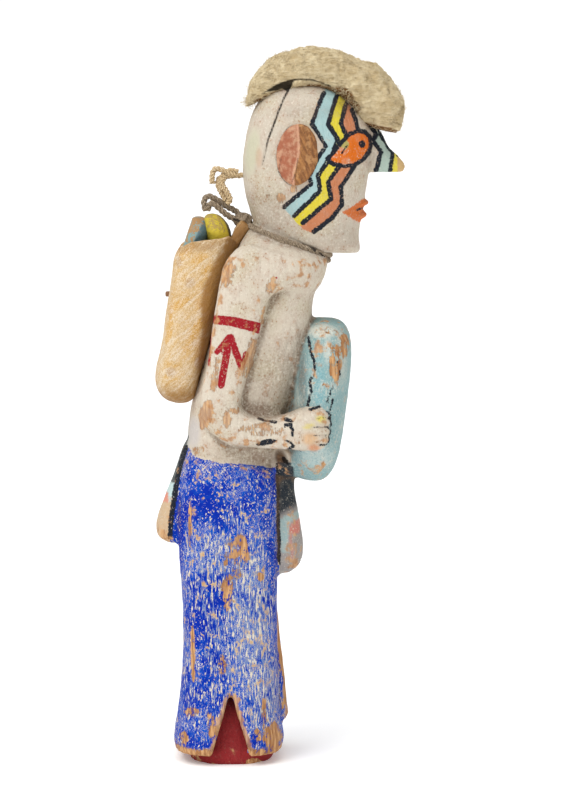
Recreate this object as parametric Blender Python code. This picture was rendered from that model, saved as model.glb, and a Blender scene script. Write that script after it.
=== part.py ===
"""Carved and painted kachina doll, seen from its right side in the reference photograph.

Units are metres, +Z is up, the doll faces -Y and its right hand is at -X.
The origin is the middle of the base's underside.

The carving is one solid: head, neck, torso, arms, tablet, skirt, sash panels and base.
Everything that is fastened to it (ears, bag, contents, peg, fleece, strings) is its own solid.
Carved forms are lofts through stations.  A station gives a rear point and a front point in the
doll's middle plane, a half width across the doll and a squareness of its outline.
"""

import bpy
import bmesh
import math
from mathutils import Vector

# driving sizes (metres)
HEIGHT = 0.280            # ground to the top of the fleece
CLEARANCE = 0.0003        # gap between pieces that touch
BAG_WALL = 0.0022         # thickness of the pouch's wall
TONGUE_THICKNESS = 0.0016 # thickness of the pouch's tongue over the shoulders
TONGUE_WIDTH = 0.016      # width of that tongue
EAR_THICKNESS = 0.0052    # how far an ear reaches out from its seat
EAR_SEAT = 0.0185         # distance of the ear's flat seat from the middle plane
EAR_LENGTH = 0.0236       # height of an ear
EAR_WIDTH = 0.0160        # depth of an ear, front to rear
CORD_RADIUS = 0.00125     # neck cord
STRING_RADIUS = 0.0011    # doubled string from the nape to the bag
TIE_RADIUS = 0.0009       # frayed string at the back of the head
PEG_RADIUS = 0.0011       # peg in the pouch
PEG_OUT = 0.0016          # how far the peg stands out of the pouch
FLAP_THICKNESS = 0.0042   # thickness of the skirt's flaps at the hem
NOTCH_HEIGHT = 0.0235     # height of the notch at each side of the skirt above the flaps' ends
NOTCH_WIDTH = 0.0146      # width of that notch at its mouth

U = HEIGHT / 280.0        # one carving unit

COLLECTION = "kachina_doll"


# materials

def make_material(name, colour, roughness, metallic=0.0):
    """Principled material with one colour, roughness and metallic value."""
    material = bpy.data.materials.new(name)
    material.use_nodes = True
    shader = material.node_tree.nodes["Principled BSDF"]
    shader.inputs["Base Color"].default_value = (*colour, 1.0)
    shader.inputs["Roughness"].default_value = roughness
    shader.inputs["Metallic"].default_value = metallic
    material.diffuse_color = (*colour, 1.0)
    return material


# mesh helpers

def signed_power(value, power):
    """Raises the size of a value to a power and keeps its sign."""
    return math.copysign(abs(value) ** power, value)


def outline(rear, front, half_width, squareness, count, centre_x=0.0, grow=0.0):
    """Closed ring of points through a rear and a front point of the middle plane.

    The ring is a superellipse.  rear, front, half_width and centre_x are in carving units,
    grow is in metres and moves the ring outward.
    """
    rear = Vector((0.0, rear[0] * U, rear[1] * U))
    front = Vector((0.0, front[0] * U, front[1] * U))
    middle = (rear + front) / 2.0
    half = (rear - front) / 2.0
    direction = half.normalized()
    depth = half.length + grow
    width = half_width * U + grow
    ring = []
    for step in range(count):
        angle = 2.0 * math.pi * step / count
        across = width * signed_power(math.cos(angle), 2.0 / squareness)
        along = depth * signed_power(math.sin(angle), 2.0 / squareness)
        ring.append(middle + Vector((centre_x * U + across, 0.0, 0.0)) + direction * along)
    return ring


def mesh_object(name, mesh, collection):
    """Links a mesh as a new object."""
    obj = bpy.data.objects.new(name, mesh)
    collection.objects.link(obj)
    return obj


def adopt(obj, name, collection):
    """Names a primitive and moves it into a collection."""
    obj.name = name
    for owner in list(obj.users_collection):
        owner.objects.unlink(obj)
    collection.objects.link(obj)
    return obj


def settle(obj):
    """Bakes an object's place, turn and scale into its mesh."""
    bpy.context.view_layer.update()
    obj.data.transform(obj.matrix_world)
    obj.matrix_world.identity()
    return obj


def loft(name, rings, collection):
    """Skin over rings of equal length, closed at both ends."""
    bm = bmesh.new()
    loops = [[bm.verts.new(point) for point in ring] for ring in rings]
    for lower, upper in zip(loops, loops[1:]):
        for index, vert in enumerate(lower):
            following = (index + 1) % len(lower)
            bm.faces.new((vert, lower[following], upper[following], upper[index]))
    for loop in (loops[0], loops[-1]):
        centre = sum((vert.co for vert in loop), Vector()) / len(loop)
        pole = bm.verts.new(centre)
        for index, vert in enumerate(loop):
            bm.faces.new((vert, loop[(index + 1) % len(loop)], pole))
    bmesh.ops.recalc_face_normals(bm, faces=bm.faces)
    mesh = bpy.data.meshes.new(name)
    bm.to_mesh(mesh)
    bm.free()
    return mesh_object(name, mesh, collection)


def tube(name, points, radius, collection, cyclic=False, resolution=2):
    """Round string along a POLY spline, returned as a closed mesh."""
    curve = bpy.data.curves.new(name, "CURVE")
    curve.dimensions = "3D"
    curve.bevel_depth = radius
    curve.bevel_resolution = resolution
    curve.use_fill_caps = not cyclic
    spline = curve.splines.new("POLY")
    spline.points.add(len(points) - 1)
    for target, point in zip(spline.points, points):
        target.co = (*point, 1.0)
    spline.use_cyclic_u = cyclic
    source = mesh_object(name + "_curve", curve, collection)
    bpy.context.view_layer.update()
    depsgraph = bpy.context.evaluated_depsgraph_get()
    mesh = bpy.data.meshes.new_from_object(source.evaluated_get(depsgraph))
    bm = bmesh.new()
    bm.from_mesh(mesh)
    bmesh.ops.remove_doubles(bm, verts=bm.verts, dist=0.00001)
    bmesh.ops.recalc_face_normals(bm, faces=bm.faces)
    bm.to_mesh(mesh)
    bm.free()
    result = mesh_object(name, mesh, collection)
    result.matrix_world = source.matrix_world
    bpy.data.objects.remove(source)
    return result


def smooth_path(points, steps):
    """Catmull-Rom points through a few guide points given in carving units."""
    guide = [Vector(point) * U for point in points]
    guide = [guide[0] * 2 - guide[1]] + guide + [guide[-1] * 2 - guide[-2]]
    path = []
    for index in range(1, len(guide) - 2):
        a, b, c, d = guide[index - 1:index + 3]
        for step in range(steps):
            t = step / steps
            path.append(0.5 * ((2 * b) + (c - a) * t + (2 * a - 5 * b + 4 * c - d) * t ** 2
                               + (3 * b - a - 3 * c + d) * t ** 3))
    path.append(guide[-2])
    return path


def boolean(target, tool, operation, remove=True):
    """Joins or cuts two closed meshes with the exact solver and applies the result."""
    modifier = target.modifiers.new(operation.lower(), "BOOLEAN")
    modifier.operation = operation
    modifier.solver = "EXACT"
    modifier.object = tool
    bpy.context.view_layer.update()
    depsgraph = bpy.context.evaluated_depsgraph_get()
    mesh = bpy.data.meshes.new_from_object(target.evaluated_get(depsgraph))
    target.modifiers.clear()
    target.data = mesh
    if remove:
        bpy.data.objects.remove(tool)
    return target


def join_all(objects):
    """Boolean union of a list of objects into the first one."""
    target = objects[0]
    for other in objects[1:]:
        boolean(target, other, "UNION")
    return target


def tidy(obj):
    """Merges points that a cut left on top of each other and drops flat slivers."""
    bm = bmesh.new()
    bm.from_mesh(obj.data)
    bmesh.ops.remove_doubles(bm, verts=bm.verts, dist=0.000004)
    bmesh.ops.dissolve_degenerate(bm, edges=bm.edges, dist=0.000004)
    bmesh.ops.delete(bm, geom=[edge for edge in bm.edges if not edge.link_faces], context="EDGES")
    bmesh.ops.triangulate(bm, faces=bm.faces)
    bmesh.ops.recalc_face_normals(bm, faces=bm.faces)
    bm.to_mesh(obj.data)
    bm.free()


def dress(obj, name, material):
    """Names the finished solid, gives it its material and shades it smooth."""
    obj.name = name
    obj.data.name = name
    obj.data.materials.clear()
    obj.data.materials.append(material)
    obj.data.shade_smooth()
    obj.data.set_sharp_from_angle(angle=math.radians(40))
    return obj


# the carving, station by station (rear y, rear z, front y, front z, half width, squareness)

TORSO = (
    (16.0, 114.0, -16.5, 110.0, 19.5, 2.8),
    (17.0, 125.0, -17.5, 118.5, 20.0, 2.8),
    (15.9, 136.0, -20.5, 130.0, 20.5, 2.8),
    (13.2, 148.0, -24.2, 144.0, 21.0, 2.8),
    (9.5, 161.0, -28.4, 157.0, 21.3, 2.8),
    (6.0, 173.0, -30.9, 169.0, 21.3, 2.8),
    (2.5, 186.0, -32.8, 183.5, 21.5, 2.8),
    (1.2, 190.0, -35.2, 186.8, 24.5, 2.7),
    (-0.5, 195.5, -36.8, 191.0, 26.2, 2.6),
    (-3.2, 202.0, -37.8, 194.8, 25.0, 2.5),
    (-6.0, 206.8, -38.2, 197.0, 20.0, 2.3),
    (-8.0, 209.8, -37.6, 198.6, 16.0, 2.2),
    (-9.5, 214.0, -36.5, 202.5, 15.0, 2.2),
)

HEAD = (
    (-14.0, 201.5, -49.6, 198.9, 11.5, 2.3),
    (-10.6, 205.8, -50.5, 200.3, 15.0, 2.4),
    (-8.9, 210.9, -50.0, 206.0, 17.6, 2.4),
    (-7.4, 216.0, -50.9, 212.5, 19.3, 2.4),
    (-5.8, 221.5, -52.0, 218.5, 20.4, 2.4),
    (-4.9, 228.0, -53.0, 226.0, 21.2, 2.4),
    (-4.8, 235.0, -54.3, 234.0, 21.6, 2.4),
    (-5.6, 242.0, -54.6, 241.5, 21.6, 2.4),
    (-7.2, 249.5, -53.8, 248.0, 21.0, 2.4),
    (-10.0, 256.5, -50.6, 253.5, 19.2, 2.3),
    (-14.0, 261.2, -46.2, 258.6, 16.0, 2.2),
    (-19.5, 264.2, -41.0, 262.6, 11.0, 2.1),
    (-26.0, 265.9, -34.5, 265.6, 4.5, 2.0),
)

# an arm is the right one; rear and front points lie on its outer side
ARM = (
    (-7.0, 204.0, -24.0, 198.5, 20.5, 4.5),
    (-2.4, 201.7, -25.4, 191.7, 20.8, 6.4),
    (2.2, 195.6, -21.6, 186.7, 21.0, 7.0),
    (4.1, 188.3, -15.8, 183.6, 21.2, 7.0),
    (5.7, 178.6, -13.1, 175.5, 21.4, 7.0),
    (6.9, 170.9, -11.2, 169.0, 21.4, 7.0),
    (8.4, 159.3, -8.1, 157.8, 21.2, 7.2),
    (10.4, 149.6, -5.8, 149.6, 21.0, 7.6),
    (11.5, 141.9, -4.4, 143.6, 20.8, 8.0),
    (10.2, 134.1, -4.8, 140.6, 20.6, 8.0),
    (6.6, 129.9, -7.7, 138.0, 20.6, 7.8),
    (-0.8, 125.9, -12.3, 136.9, 20.8, 7.4),
    (-11.0, 124.8, -16.8, 136.9, 21.0, 7.2),
    (-18.6, 124.4, -21.6, 138.0, 21.5, 7.2),
    (-24.6, 124.0, -25.8, 139.6, 22.2, 7.2),
    (-31.0, 123.8, -31.6, 140.6, 22.8, 7.0),
    (-36.6, 125.0, -36.8, 139.6, 22.4, 6.0),
    (-38.4, 127.0, -38.4, 137.0, 21.6, 4.6),
)

SKIRT = (
    (16.9, 122.2, -17.6, 115.0, 21.6, 3.2),
    (19.3, 115.5, -18.4, 109.5, 23.2, 3.4),
    (20.4, 100.0, -18.5, 98.0, 23.8, 3.5),
    (20.2, 80.0, -18.3, 79.0, 23.8, 3.5),
    (19.0, 60.1, -18.0, 60.1, 23.6, 3.5),
    (18.8, 45.7, -18.6, 45.7, 24.0, 3.4),
    (19.6, 32.0, -19.6, 32.0, 25.0, 3.2),
    (20.9, 20.0, -20.6, 20.0, 26.2, 3.1),
    (22.7, 8.0, -20.9, 8.0, 27.2, 3.0),
    (22.0, 4.0, -19.9, 4.0, 26.6, 3.0),
)

BACK_PANEL = (
    (16.4, 126.8, 12.0, 126.8, 4.5, 2.2),
    (18.9, 122.5, 12.0, 122.5, 9.0, 2.6),
    (21.7, 114.0, 12.0, 114.0, 11.0, 3.0),
    (26.2, 102.6, 12.0, 102.6, 12.5, 3.0),
    (29.2, 93.6, 12.0, 93.6, 13.0, 3.0),
    (28.9, 88.0, 12.0, 88.0, 12.6, 2.8),
    (26.0, 85.6, 12.0, 85.6, 10.5, 2.6),
)

FRONT_PANEL = (
    (-10.0, 115.0, -21.0, 115.0, 7.5, 2.4),
    (-10.0, 112.5, -24.2, 112.5, 10.0, 2.8),
    (-10.0, 105.5, -24.8, 105.5, 11.5, 3.0),
    (-10.0, 95.5, -26.7, 95.5, 12.5, 3.0),
    (-10.0, 84.0, -28.3, 84.0, 13.0, 3.0),
    (-10.0, 77.0, -27.2, 77.0, 12.2, 2.8),
    (-10.0, 73.4, -23.4, 73.4, 9.5, 2.4),
)

NOSE = (
    (-48.0, 249.0, -56.8, 248.4, 3.0, 1.6),
    (-48.0, 246.5, -59.2, 245.0, 4.0, 1.6),
    (-48.0, 241.5, -61.8, 240.0, 5.2, 1.6),
    (-48.0, 236.5, -65.4, 236.4, 6.2, 1.6),
    (-48.0, 232.6, -67.9, 232.8, 6.8, 1.7),
    (-48.0, 230.6, -67.0, 230.6, 6.8, 1.7),
)

BAG = (
    (21.4, 140.6, 15.4, 141.2, 9.0, 2.4),
    (25.6, 142.0, 13.6, 143.0, 13.5, 2.8),
    (28.4, 145.2, 12.8, 146.0, 16.0, 3.2),
    (29.4, 150.0, 12.0, 150.4, 17.0, 3.4),
    (28.2, 158.0, 9.8, 158.0, 17.2, 3.4),
    (25.6, 172.0, 6.0, 172.0, 17.0, 3.4),
    (23.6, 186.0, 2.2, 186.0, 16.8, 3.3),
    (22.2, 196.5, -0.8, 197.0, 16.2, 3.2),
    (20.8, 201.0, -2.2, 203.5, 15.6, 3.2),
)

FLEECE = (
    (-6.6, 256.0, -7.0, 259.5, 7.0, 2.2),
    (-11.5, 258.0, -9.5, 267.7, 10.0, 2.4),
    (-17.0, 260.0, -15.8, 273.9, 12.0, 2.6),
    (-24.0, 261.5, -23.1, 277.4, 13.0, 2.7),
    (-31.2, 262.5, -31.7, 278.6, 13.5, 2.7),
    (-38.4, 261.5, -41.4, 277.2, 13.5, 2.7),
    (-44.0, 258.5, -50.4, 273.9, 13.5, 2.7),
    (-47.0, 254.0, -58.1, 270.4, 13.5, 2.7),
    (-50.5, 250.5, -63.6, 264.6, 13.0, 2.6),
    (-55.1, 247.9, -67.1, 260.0, 12.5, 2.5),
    (-59.4, 246.6, -67.9, 255.3, 11.5, 2.4),
    (-64.0, 245.8, -66.6, 249.4, 8.0, 2.2),
)


def station_loft(name, stations, collection, count=24, grow=0.0):
    """Loft through middle-plane stations."""
    rings = []
    for rear_y, rear_z, front_y, front_z, half_width, squareness in stations:
        rings.append(outline((rear_y, rear_z), (front_y, front_z), half_width, squareness,
                             count, grow=grow))
    if grow:
        for ring, toward in ((rings[0], rings[1]), (rings[-1], rings[-2])):
            centre = sum(ring, Vector()) / len(ring)
            inner = sum(toward, Vector()) / len(toward)
            shift = (centre - inner).normalized() * grow
            for point in ring:
                point += shift
    return loft(name, rings, collection)


def arm_loft(name, side, collection, grow=0.0):
    """One arm: shoulder, upper arm, elbow, forearm and hand.  side is -1 right, +1 left."""
    rings = []
    for rear_y, rear_z, front_y, front_z, centre_x, thickness in ARM:
        rings.append(outline((rear_y, rear_z), (front_y, front_z), thickness, 2.9, 16,
                             centre_x=side * centre_x, grow=grow))
    return loft(name, rings, collection)


def pillow_loft(name, top, bottom, half_depth, half_width, fullness, squareness, collection,
                rings=9, count=24, grow=0.0):
    """Rounded slab between two middle-plane points, such as the tablet."""
    top = Vector((0.0, top[0] * U, top[1] * U))
    bottom = Vector((0.0, bottom[0] * U, bottom[1] * U))
    middle = (top + bottom) / 2.0
    axis = (top - bottom) / 2.0
    across = Vector((0.0, axis.z, -axis.y)).normalized()
    stations = []
    for step in range(rings):
        share = math.sin(math.pi * (step / (rings - 1) - 0.5) * 0.985)
        size = (1.0 - abs(share) ** fullness) ** (1.0 / fullness)
        centre = middle + axis * share * (1.0 + grow / axis.length)
        reach = across * (half_depth * U * size + grow)
        stations.append((centre + reach, centre - reach, half_width * U * size + grow))
    loops = []
    for rear, front, width in stations:
        rear_units = (rear.y / U, rear.z / U)
        front_units = (front.y / U, front.z / U)
        loops.append(outline(rear_units, front_units, width / U, squareness, count))
    return loft(name, loops, collection)


def base_stations():
    """Red base and the cone inside the skirt, from the ground up."""
    notch_top = 4.5 + NOTCH_HEIGHT / U
    return (
        (15.6, 0.0, -15.6, 0.0, 20.6, 2.5),
        (16.8, 1.4, -16.8, 1.4, 21.8, 2.5),
        (16.8, 5.6, -16.8, 5.6, 21.8, 2.5),
        (15.6, 8.5, -15.6, 8.5, 20.6, 2.5),
        (13.6, notch_top + 4.0, -13.6, notch_top + 4.0, 17.5, 2.5),
        (13.2, notch_top + 8.0, -13.2, notch_top + 8.0, 17.0, 2.5),
    )


def skirt_cavity(collection):
    """Cutter for the space between the flaps and the cone inside the skirt."""
    notch_top = 4.5 + NOTCH_HEIGHT / U
    wall = FLAP_THICKNESS / U
    rings = []
    for z, rear, front, width in ((-2.0, 23.6, -21.6, 27.6), (8.0, 22.7, -20.9, 27.2),
                                  (20.0, 20.9, -20.6, 26.2), (notch_top, 19.7, -19.6, 25.2)):
        rings.append(outline((rear - wall, z), (front + wall, z), width - wall, 3.0, 24))
    return loft("skirt_cavity", rings, collection)


def notch_cutter(side, collection):
    """V-shaped cutter for the notch at one side of the skirt, with a narrow rounded top."""
    half = NOTCH_WIDTH / 2.0
    top = 4.5 * U + NOTCH_HEIGHT
    profile = ((-half * 1.12, -0.003), (-half, 0.0045 * HEIGHT / 0.280), (-0.0011, top - 0.002),
               (-0.0006, top), (0.0006, top), (0.0011, top - 0.002),
               (half, 0.0045 * HEIGHT / 0.280), (half * 1.12, -0.003))
    near, far = 18.0 * U * side, 40.0 * U * side
    bm = bmesh.new()
    rings = [[bm.verts.new((x, y, z)) for y, z in profile] for x in (near, far)]
    for index in range(len(profile)):
        following = (index + 1) % len(profile)
        bm.faces.new((rings[0][index], rings[0][following], rings[1][following],
                      rings[1][index]))
    bm.faces.new(rings[0])
    bm.faces.new(list(reversed(rings[1])))
    bmesh.ops.recalc_face_normals(bm, faces=bm.faces)
    mesh = bpy.data.meshes.new("notch")
    bm.to_mesh(mesh)
    bm.free()
    return mesh_object("notch", mesh, collection)


def box_cutter(name, low, high, collection):
    """Box between two corners in metres."""
    bpy.ops.mesh.primitive_cube_add(size=1.0)
    box = adopt(bpy.context.object, name, collection)
    box.scale = [high[axis] - low[axis] for axis in range(3)]
    box.location = [(high[axis] + low[axis]) / 2.0 for axis in range(3)]
    return settle(box)


# the carved figure

def lip_forms(collection):
    """Two low lips wrapped round the front of the face."""
    lips = []
    for name, z, reach, height in (("lip_upper", 218.6, 53.3, 2.3),
                                   ("lip_lower", 213.8, 52.6, 2.7)):
        bpy.ops.mesh.primitive_uv_sphere_add(segments=20, ring_count=8, radius=1.0)
        lip = adopt(bpy.context.object, name, collection)
        lip.scale = (13.5 * U, 10.0 * U, height * U)
        lip.location = (0.0, -(reach - 9.4) * U, z * U)
        lips.append(settle(lip))
    return lips


def bust_forms(collection, grow=0.0):
    """Head, nose, torso and arms, each as a closed loft."""
    forms = [station_loft("torso", TORSO, collection, 24, grow),
             station_loft("head", HEAD, collection, 24, grow),
             station_loft("nose", NOSE, collection, 14, grow)]
    for side in (-1.0, 1.0):
        forms.append(arm_loft("arm", side, collection, grow))
    return forms


def make_figure(parts, scraps, grooves):
    """The whole carving as one solid."""
    forms = bust_forms(scraps)
    forms += lip_forms(scraps)
    forms.append(pillow_loft("tablet", (-38.2, 173.2), (-30.4, 110.0), 11.2, 23.0, 3.4, 2.5,
                             scraps, rings=11))
    figure = join_all(forms)
    skirt = station_loft("skirt", SKIRT, scraps, 26)
    boolean(skirt, skirt_cavity(scraps), "DIFFERENCE")
    for side in (-1.0, 1.0):
        boolean(skirt, notch_cutter(side, scraps), "DIFFERENCE")
    step = box_cutter("front_step", (0.002, -0.045, -0.01), (0.05, -10.0 * U, 14.6 * U), scraps)
    boolean(skirt, step, "DIFFERENCE")
    boolean(figure, skirt, "UNION")
    for name, stations in (("back_panel", BACK_PANEL), ("front_panel", FRONT_PANEL)):
        boolean(figure, station_loft(name, stations, scraps, 20), "UNION")
    boolean(figure, station_loft("base", base_stations(), scraps, 24), "UNION")
    for side in (-1.0, 1.0):
        boolean(figure, ear_solid("seat", side, scraps, CLEARANCE, deep=True), "DIFFERENCE")
    boolean(figure, grooves, "DIFFERENCE", remove=False)
    parts.objects.link(figure)
    scraps.objects.unlink(figure)
    tidy(figure)
    return dress(figure, "figure", make_material("figure_paint", (0.62, 0.56, 0.50), 0.75))


def grown_bust(scraps):
    """The bust grown by the clearance: what is fastened to the figure is cut by it."""
    return join_all(bust_forms(scraps, CLEARANCE))


# ears

def ear_solid(name, side, collection, grow=0.0, deep=False):
    """Oval ear: a slab on the head's flat seat, chamfered more at its rear than its front."""
    centre_y, centre_z = -26.0 * U, 238.0 * U
    half_y, half_z = EAR_WIDTH / 2.0 + grow, EAR_LENGTH / 2.0 + grow
    outer = EAR_SEAT + EAR_THICKNESS
    if deep:
        layers = ((EAR_SEAT - CLEARANCE, 1.0, 0.0), (outer + 0.01, 1.0, 0.0))
    else:
        layers = ((EAR_SEAT, 1.0, 0.0), (EAR_SEAT + EAR_THICKNESS * 0.55, 1.0, 0.0),
                  (outer - 0.0008, 0.90, -0.06), (outer, 0.72, -0.16))
    lean = math.radians(6.0)
    rings = []
    for x, size, shift in layers:
        ring = []
        for step in range(20):
            angle = 2.0 * math.pi * step / 20
            y = half_y * (size * math.cos(angle) + shift)
            z = half_z * (1.0 if size == 1.0 else (1.0 + size) / 2.0) * math.sin(angle)
            ring.append(Vector((side * x, centre_y + y * math.cos(lean) - z * math.sin(lean),
                                centre_z + y * math.sin(lean) + z * math.cos(lean))))
        rings.append(ring)
    return loft(name, rings, collection)


def make_ear(name, side, parts, material):
    """One finished ear."""
    ear = ear_solid(name, side, parts)
    return dress(ear, name, material)


# pouch, contents and peg

def bag_rings(grow, raised=0.0):
    """Rings of the pouch's skin moved by grow, the last run made raised times as long."""
    rings = []
    for index, (rear_y, rear_z, front_y, front_z, half_width, squareness) in enumerate(BAG):
        rings.append(outline((rear_y, rear_z), (front_y, front_z), half_width, squareness,
                             22, grow=grow))
    if grow < 0.0:
        rings = rings[1:]
        for point in rings[0]:
            point.z -= grow * 0.8
    if raised:
        rings[-1] = [low + (high - low) * raised for low, high in zip(rings[-2], rings[-1])]
    return rings


def make_bag(parts, scraps, bust, grooves, material):
    """Pouch with its true wall, its tongue and the hole of its peg."""
    bag = loft("bag", bag_rings(0.0), scraps)
    half = TONGUE_WIDTH / 2.0
    path = smooth_path(((0, 3.0, 190.0), (0, 0.4, 199.0), (0, -2.6, 205.4), (0, -6.4, 210.2)), 3)
    rings = []
    for index, point in enumerate(path):
        before = path[max(index - 1, 0)]
        after = path[min(index + 1, len(path) - 1)]
        normal = Vector((0.0, (after - before).z, -(after - before).y)).normalized()
        taper = 1.0 - 0.35 * index / (len(path) - 1)
        inner, outer = point, point + normal * (TONGUE_THICKNESS + 0.0012)
        rings.append([Vector((-half * taper, inner.y, inner.z)),
                      Vector((half * taper, inner.y, inner.z)),
                      Vector((half * taper * 0.9, outer.y, outer.z)),
                      Vector((-half * taper * 0.9, outer.y, outer.z))])
    tongue = loft("tongue", rings, scraps)
    boolean(bag, tongue, "UNION")
    boolean(bag, loft("cavity", bag_rings(-BAG_WALL, 3.2), scraps), "DIFFERENCE")
    boolean(bag, peg_solid("peg_hole", scraps, CLEARANCE), "DIFFERENCE")
    boolean(bag, bust, "DIFFERENCE", remove=False)
    boolean(bag, grooves, "DIFFERENCE", remove=False)
    parts.objects.link(bag)
    scraps.objects.unlink(bag)
    tidy(bag)
    return dress(bag, "bag", material)


def peg_solid(name, collection, grow=0.0):
    """Peg in the pouch's rear wall, or with grow the cutter of its blind hole."""
    skin = 24.0 * U
    inner, outer = skin - BAG_WALL * 0.7 - grow, skin + PEG_OUT + grow
    bpy.ops.mesh.primitive_cylinder_add(vertices=12, radius=PEG_RADIUS + grow,
                                        depth=outer - inner)
    peg = adopt(bpy.context.object, name, collection)
    peg.rotation_euler = (math.pi / 2.0, 0.0, 0.0)
    peg.location = (0.3 * U, (inner + outer) / 2.0, 182.7 * U)
    return settle(peg)


BLUE = {"centre_y": 13.8, "half_y": 5.2, "tip_y": 12.6, "top_z": 213.2, "half_x": 12.0}
YELLOW = {"centre_y": 4.1, "half_y": 4.4, "tip_y": 5.8, "top_z": 214.4, "half_x": 10.5}


def lump_form(name, shape, collection, grow=0.0):
    """A bar that follows the pouch up to its mouth and is domed at its top."""
    rings = []
    foot, rim, top = 146.0, 203.0, shape["top_z"]
    reach, width = shape["half_y"] + grow / U, shape["half_x"] + grow / U
    for z, size in ((foot, 0.80), (foot + 3.0, 1.0), (rim, 1.0), (top - 5.0, 0.95),
                    (top - 2.2, 0.76), (top - 0.6, 0.45), (top + grow / U, 0.14)):
        middle = shape["centre_y"] + 0.17 * max(rim - z, 0.0)
        middle += (shape["tip_y"] - shape["centre_y"]) * max(z - rim, 0.0) / (top - rim)
        rings.append(outline((middle + reach * size, z), (middle - reach * size, z),
                             width * size, 2.2, 18))
    return loft(name, rings, collection)


def make_lump(name, shape, neighbours, bag_inner, parts, scraps, material):
    """One of the pouch's contents, cut to the pouch's inside and to its neighbours."""
    body = lump_form(name, shape, scraps)
    boolean(body, bag_inner, "INTERSECT", remove=False)
    for neighbour in neighbours:
        boolean(body, neighbour, "DIFFERENCE", remove=False)
    parts.objects.link(body)
    scraps.objects.unlink(body)
    tidy(body)
    return dress(body, name, material)


# strings

def neck_ring():
    """Closed path of the cord, sunk a little into the join of neck and shoulders."""
    return outline((-8.0, 209.6), (-38.0, 198.4), 16.2, 2.2, 30, grow=CORD_RADIUS * 0.7)


def cord_forms(name, collection, grow=0.0):
    """Cord round the neck, its knot at the nape and the doubled string to the yellow piece."""
    cord = tube(name, neck_ring(), CORD_RADIUS + grow, collection, cyclic=True)
    knot_y, knot_z = -5.0, 211.6
    strands = (((0.6, knot_y, knot_z), (0.8, -2.2, 214.9), (0.8, 1.4, 216.9), (0.8, 6.0, 219.9),
                (0.6, 8.8, 220.9), (0.4, 10.3, 219.4), (0.2, 10.2, 217.2), (0.0, 9.8, 215.2)),
               ((-1.2, knot_y, knot_z - 0.6), (-1.4, -1.2, 212.3), (-1.6, 1.6, 213.9),
                (-1.6, 4.4, 216.3), (-1.4, 6.9, 218.2), (-0.6, 8.4, 217.6), (-0.2, 8.9, 215.4)))
    for points in strands:
        boolean(cord, tube("strand", smooth_path(points, 2), STRING_RADIUS + grow, collection,
                           resolution=1), "UNION")
    bpy.ops.mesh.primitive_uv_sphere_add(segments=10, ring_count=6, radius=1.0)
    knot = adopt(bpy.context.object, "knot", collection)
    knot.scale = (3.2 * U + grow, 3.0 * U + grow, 2.6 * U + grow)
    knot.location = (0.0, (knot_y - 0.3) * U, knot_z * U)
    return boolean(cord, settle(knot), "UNION")


def make_head_tie(parts, scraps, bust, material):
    """Frayed string at the back of the head."""
    strands = (((0.0, -6.0, 229.6), (0.0, -3.0, 229.0), (-0.6, -0.4, 229.4), (-1.0, 3.2, 231.2),
                (-0.6, 6.0, 231.6), (-0.4, 7.1, 229.6), (-0.6, 7.2, 225.8)),
               ((0.0, -1.6, 229.0), (-0.4, 2.0, 228.4), (-1.2, 3.2, 226.0),
                (-2.0, 1.4, 222.6), (-2.8, 0.2, 219.8), (-3.0, 1.4, 218.0)))
    tie = None
    for points in strands:
        strand = tube("tie", smooth_path(points, 2), TIE_RADIUS, scraps, resolution=1)
        if tie is None:
            tie = strand
        else:
            boolean(tie, strand, "UNION")
    boolean(tie, bust, "DIFFERENCE", remove=False)
    parts.objects.link(tie)
    scraps.objects.unlink(tie)
    tidy(tie)
    return dress(tie, "head_tie", material)


# assembly

def main():
    """Builds every solid of the doll."""
    for obj in list(bpy.data.objects):
        bpy.data.objects.remove(obj)
    parts = bpy.data.collections.new(COLLECTION)
    scraps = bpy.data.collections.new("cutters")
    for collection in (parts, scraps):
        bpy.context.scene.collection.children.link(collection)

    grooves = cord_forms("grooves", scraps, CLEARANCE)
    make_figure(parts, scraps, grooves)
    bust = grown_bust(scraps)
    ear_paint = make_material("ear_paint", (0.42, 0.20, 0.12), 0.7)
    make_ear("ear_right", -1.0, parts, ear_paint)
    make_ear("ear_left", 1.0, parts, ear_paint)

    make_bag(parts, scraps, bust, grooves, make_material("bag_ochre", (0.55, 0.36, 0.15), 0.8))
    inner = loft("bag_inner", bag_rings(-(BAG_WALL + CLEARANCE), 5.0), scraps)
    blue_room = lump_form("blue_room", BLUE, scraps, CLEARANCE)
    make_lump("lump_blue", BLUE, (grooves,), inner, parts, scraps,
              make_material("lump_blue_paint", (0.20, 0.27, 0.30), 0.7))
    make_lump("lump_yellow", YELLOW, (grooves, blue_room), inner, parts, scraps,
              make_material("lump_yellow_paint", (0.70, 0.56, 0.06), 0.7))
    dress(peg_solid("bag_peg", parts), "bag_peg",
          make_material("peg_wood", (0.16, 0.09, 0.05), 0.7))

    fleece = station_loft("fleece", FLEECE, scraps, 16)
    boolean(fleece, bust, "DIFFERENCE", remove=False)
    parts.objects.link(fleece)
    scraps.objects.unlink(fleece)
    tidy(fleece)
    dress(fleece, "fleece", make_material("fleece_wool", (0.60, 0.52, 0.33), 0.95))

    string = make_material("string", (0.45, 0.36, 0.25), 0.9)
    cord = cord_forms("neck_cord", parts)
    tidy(cord)
    dress(cord, "neck_cord", string)
    make_head_tie(parts, scraps, bust, string)
    for tool in (bust, grooves, inner, blue_room):
        bpy.data.objects.remove(tool)


main()
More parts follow.
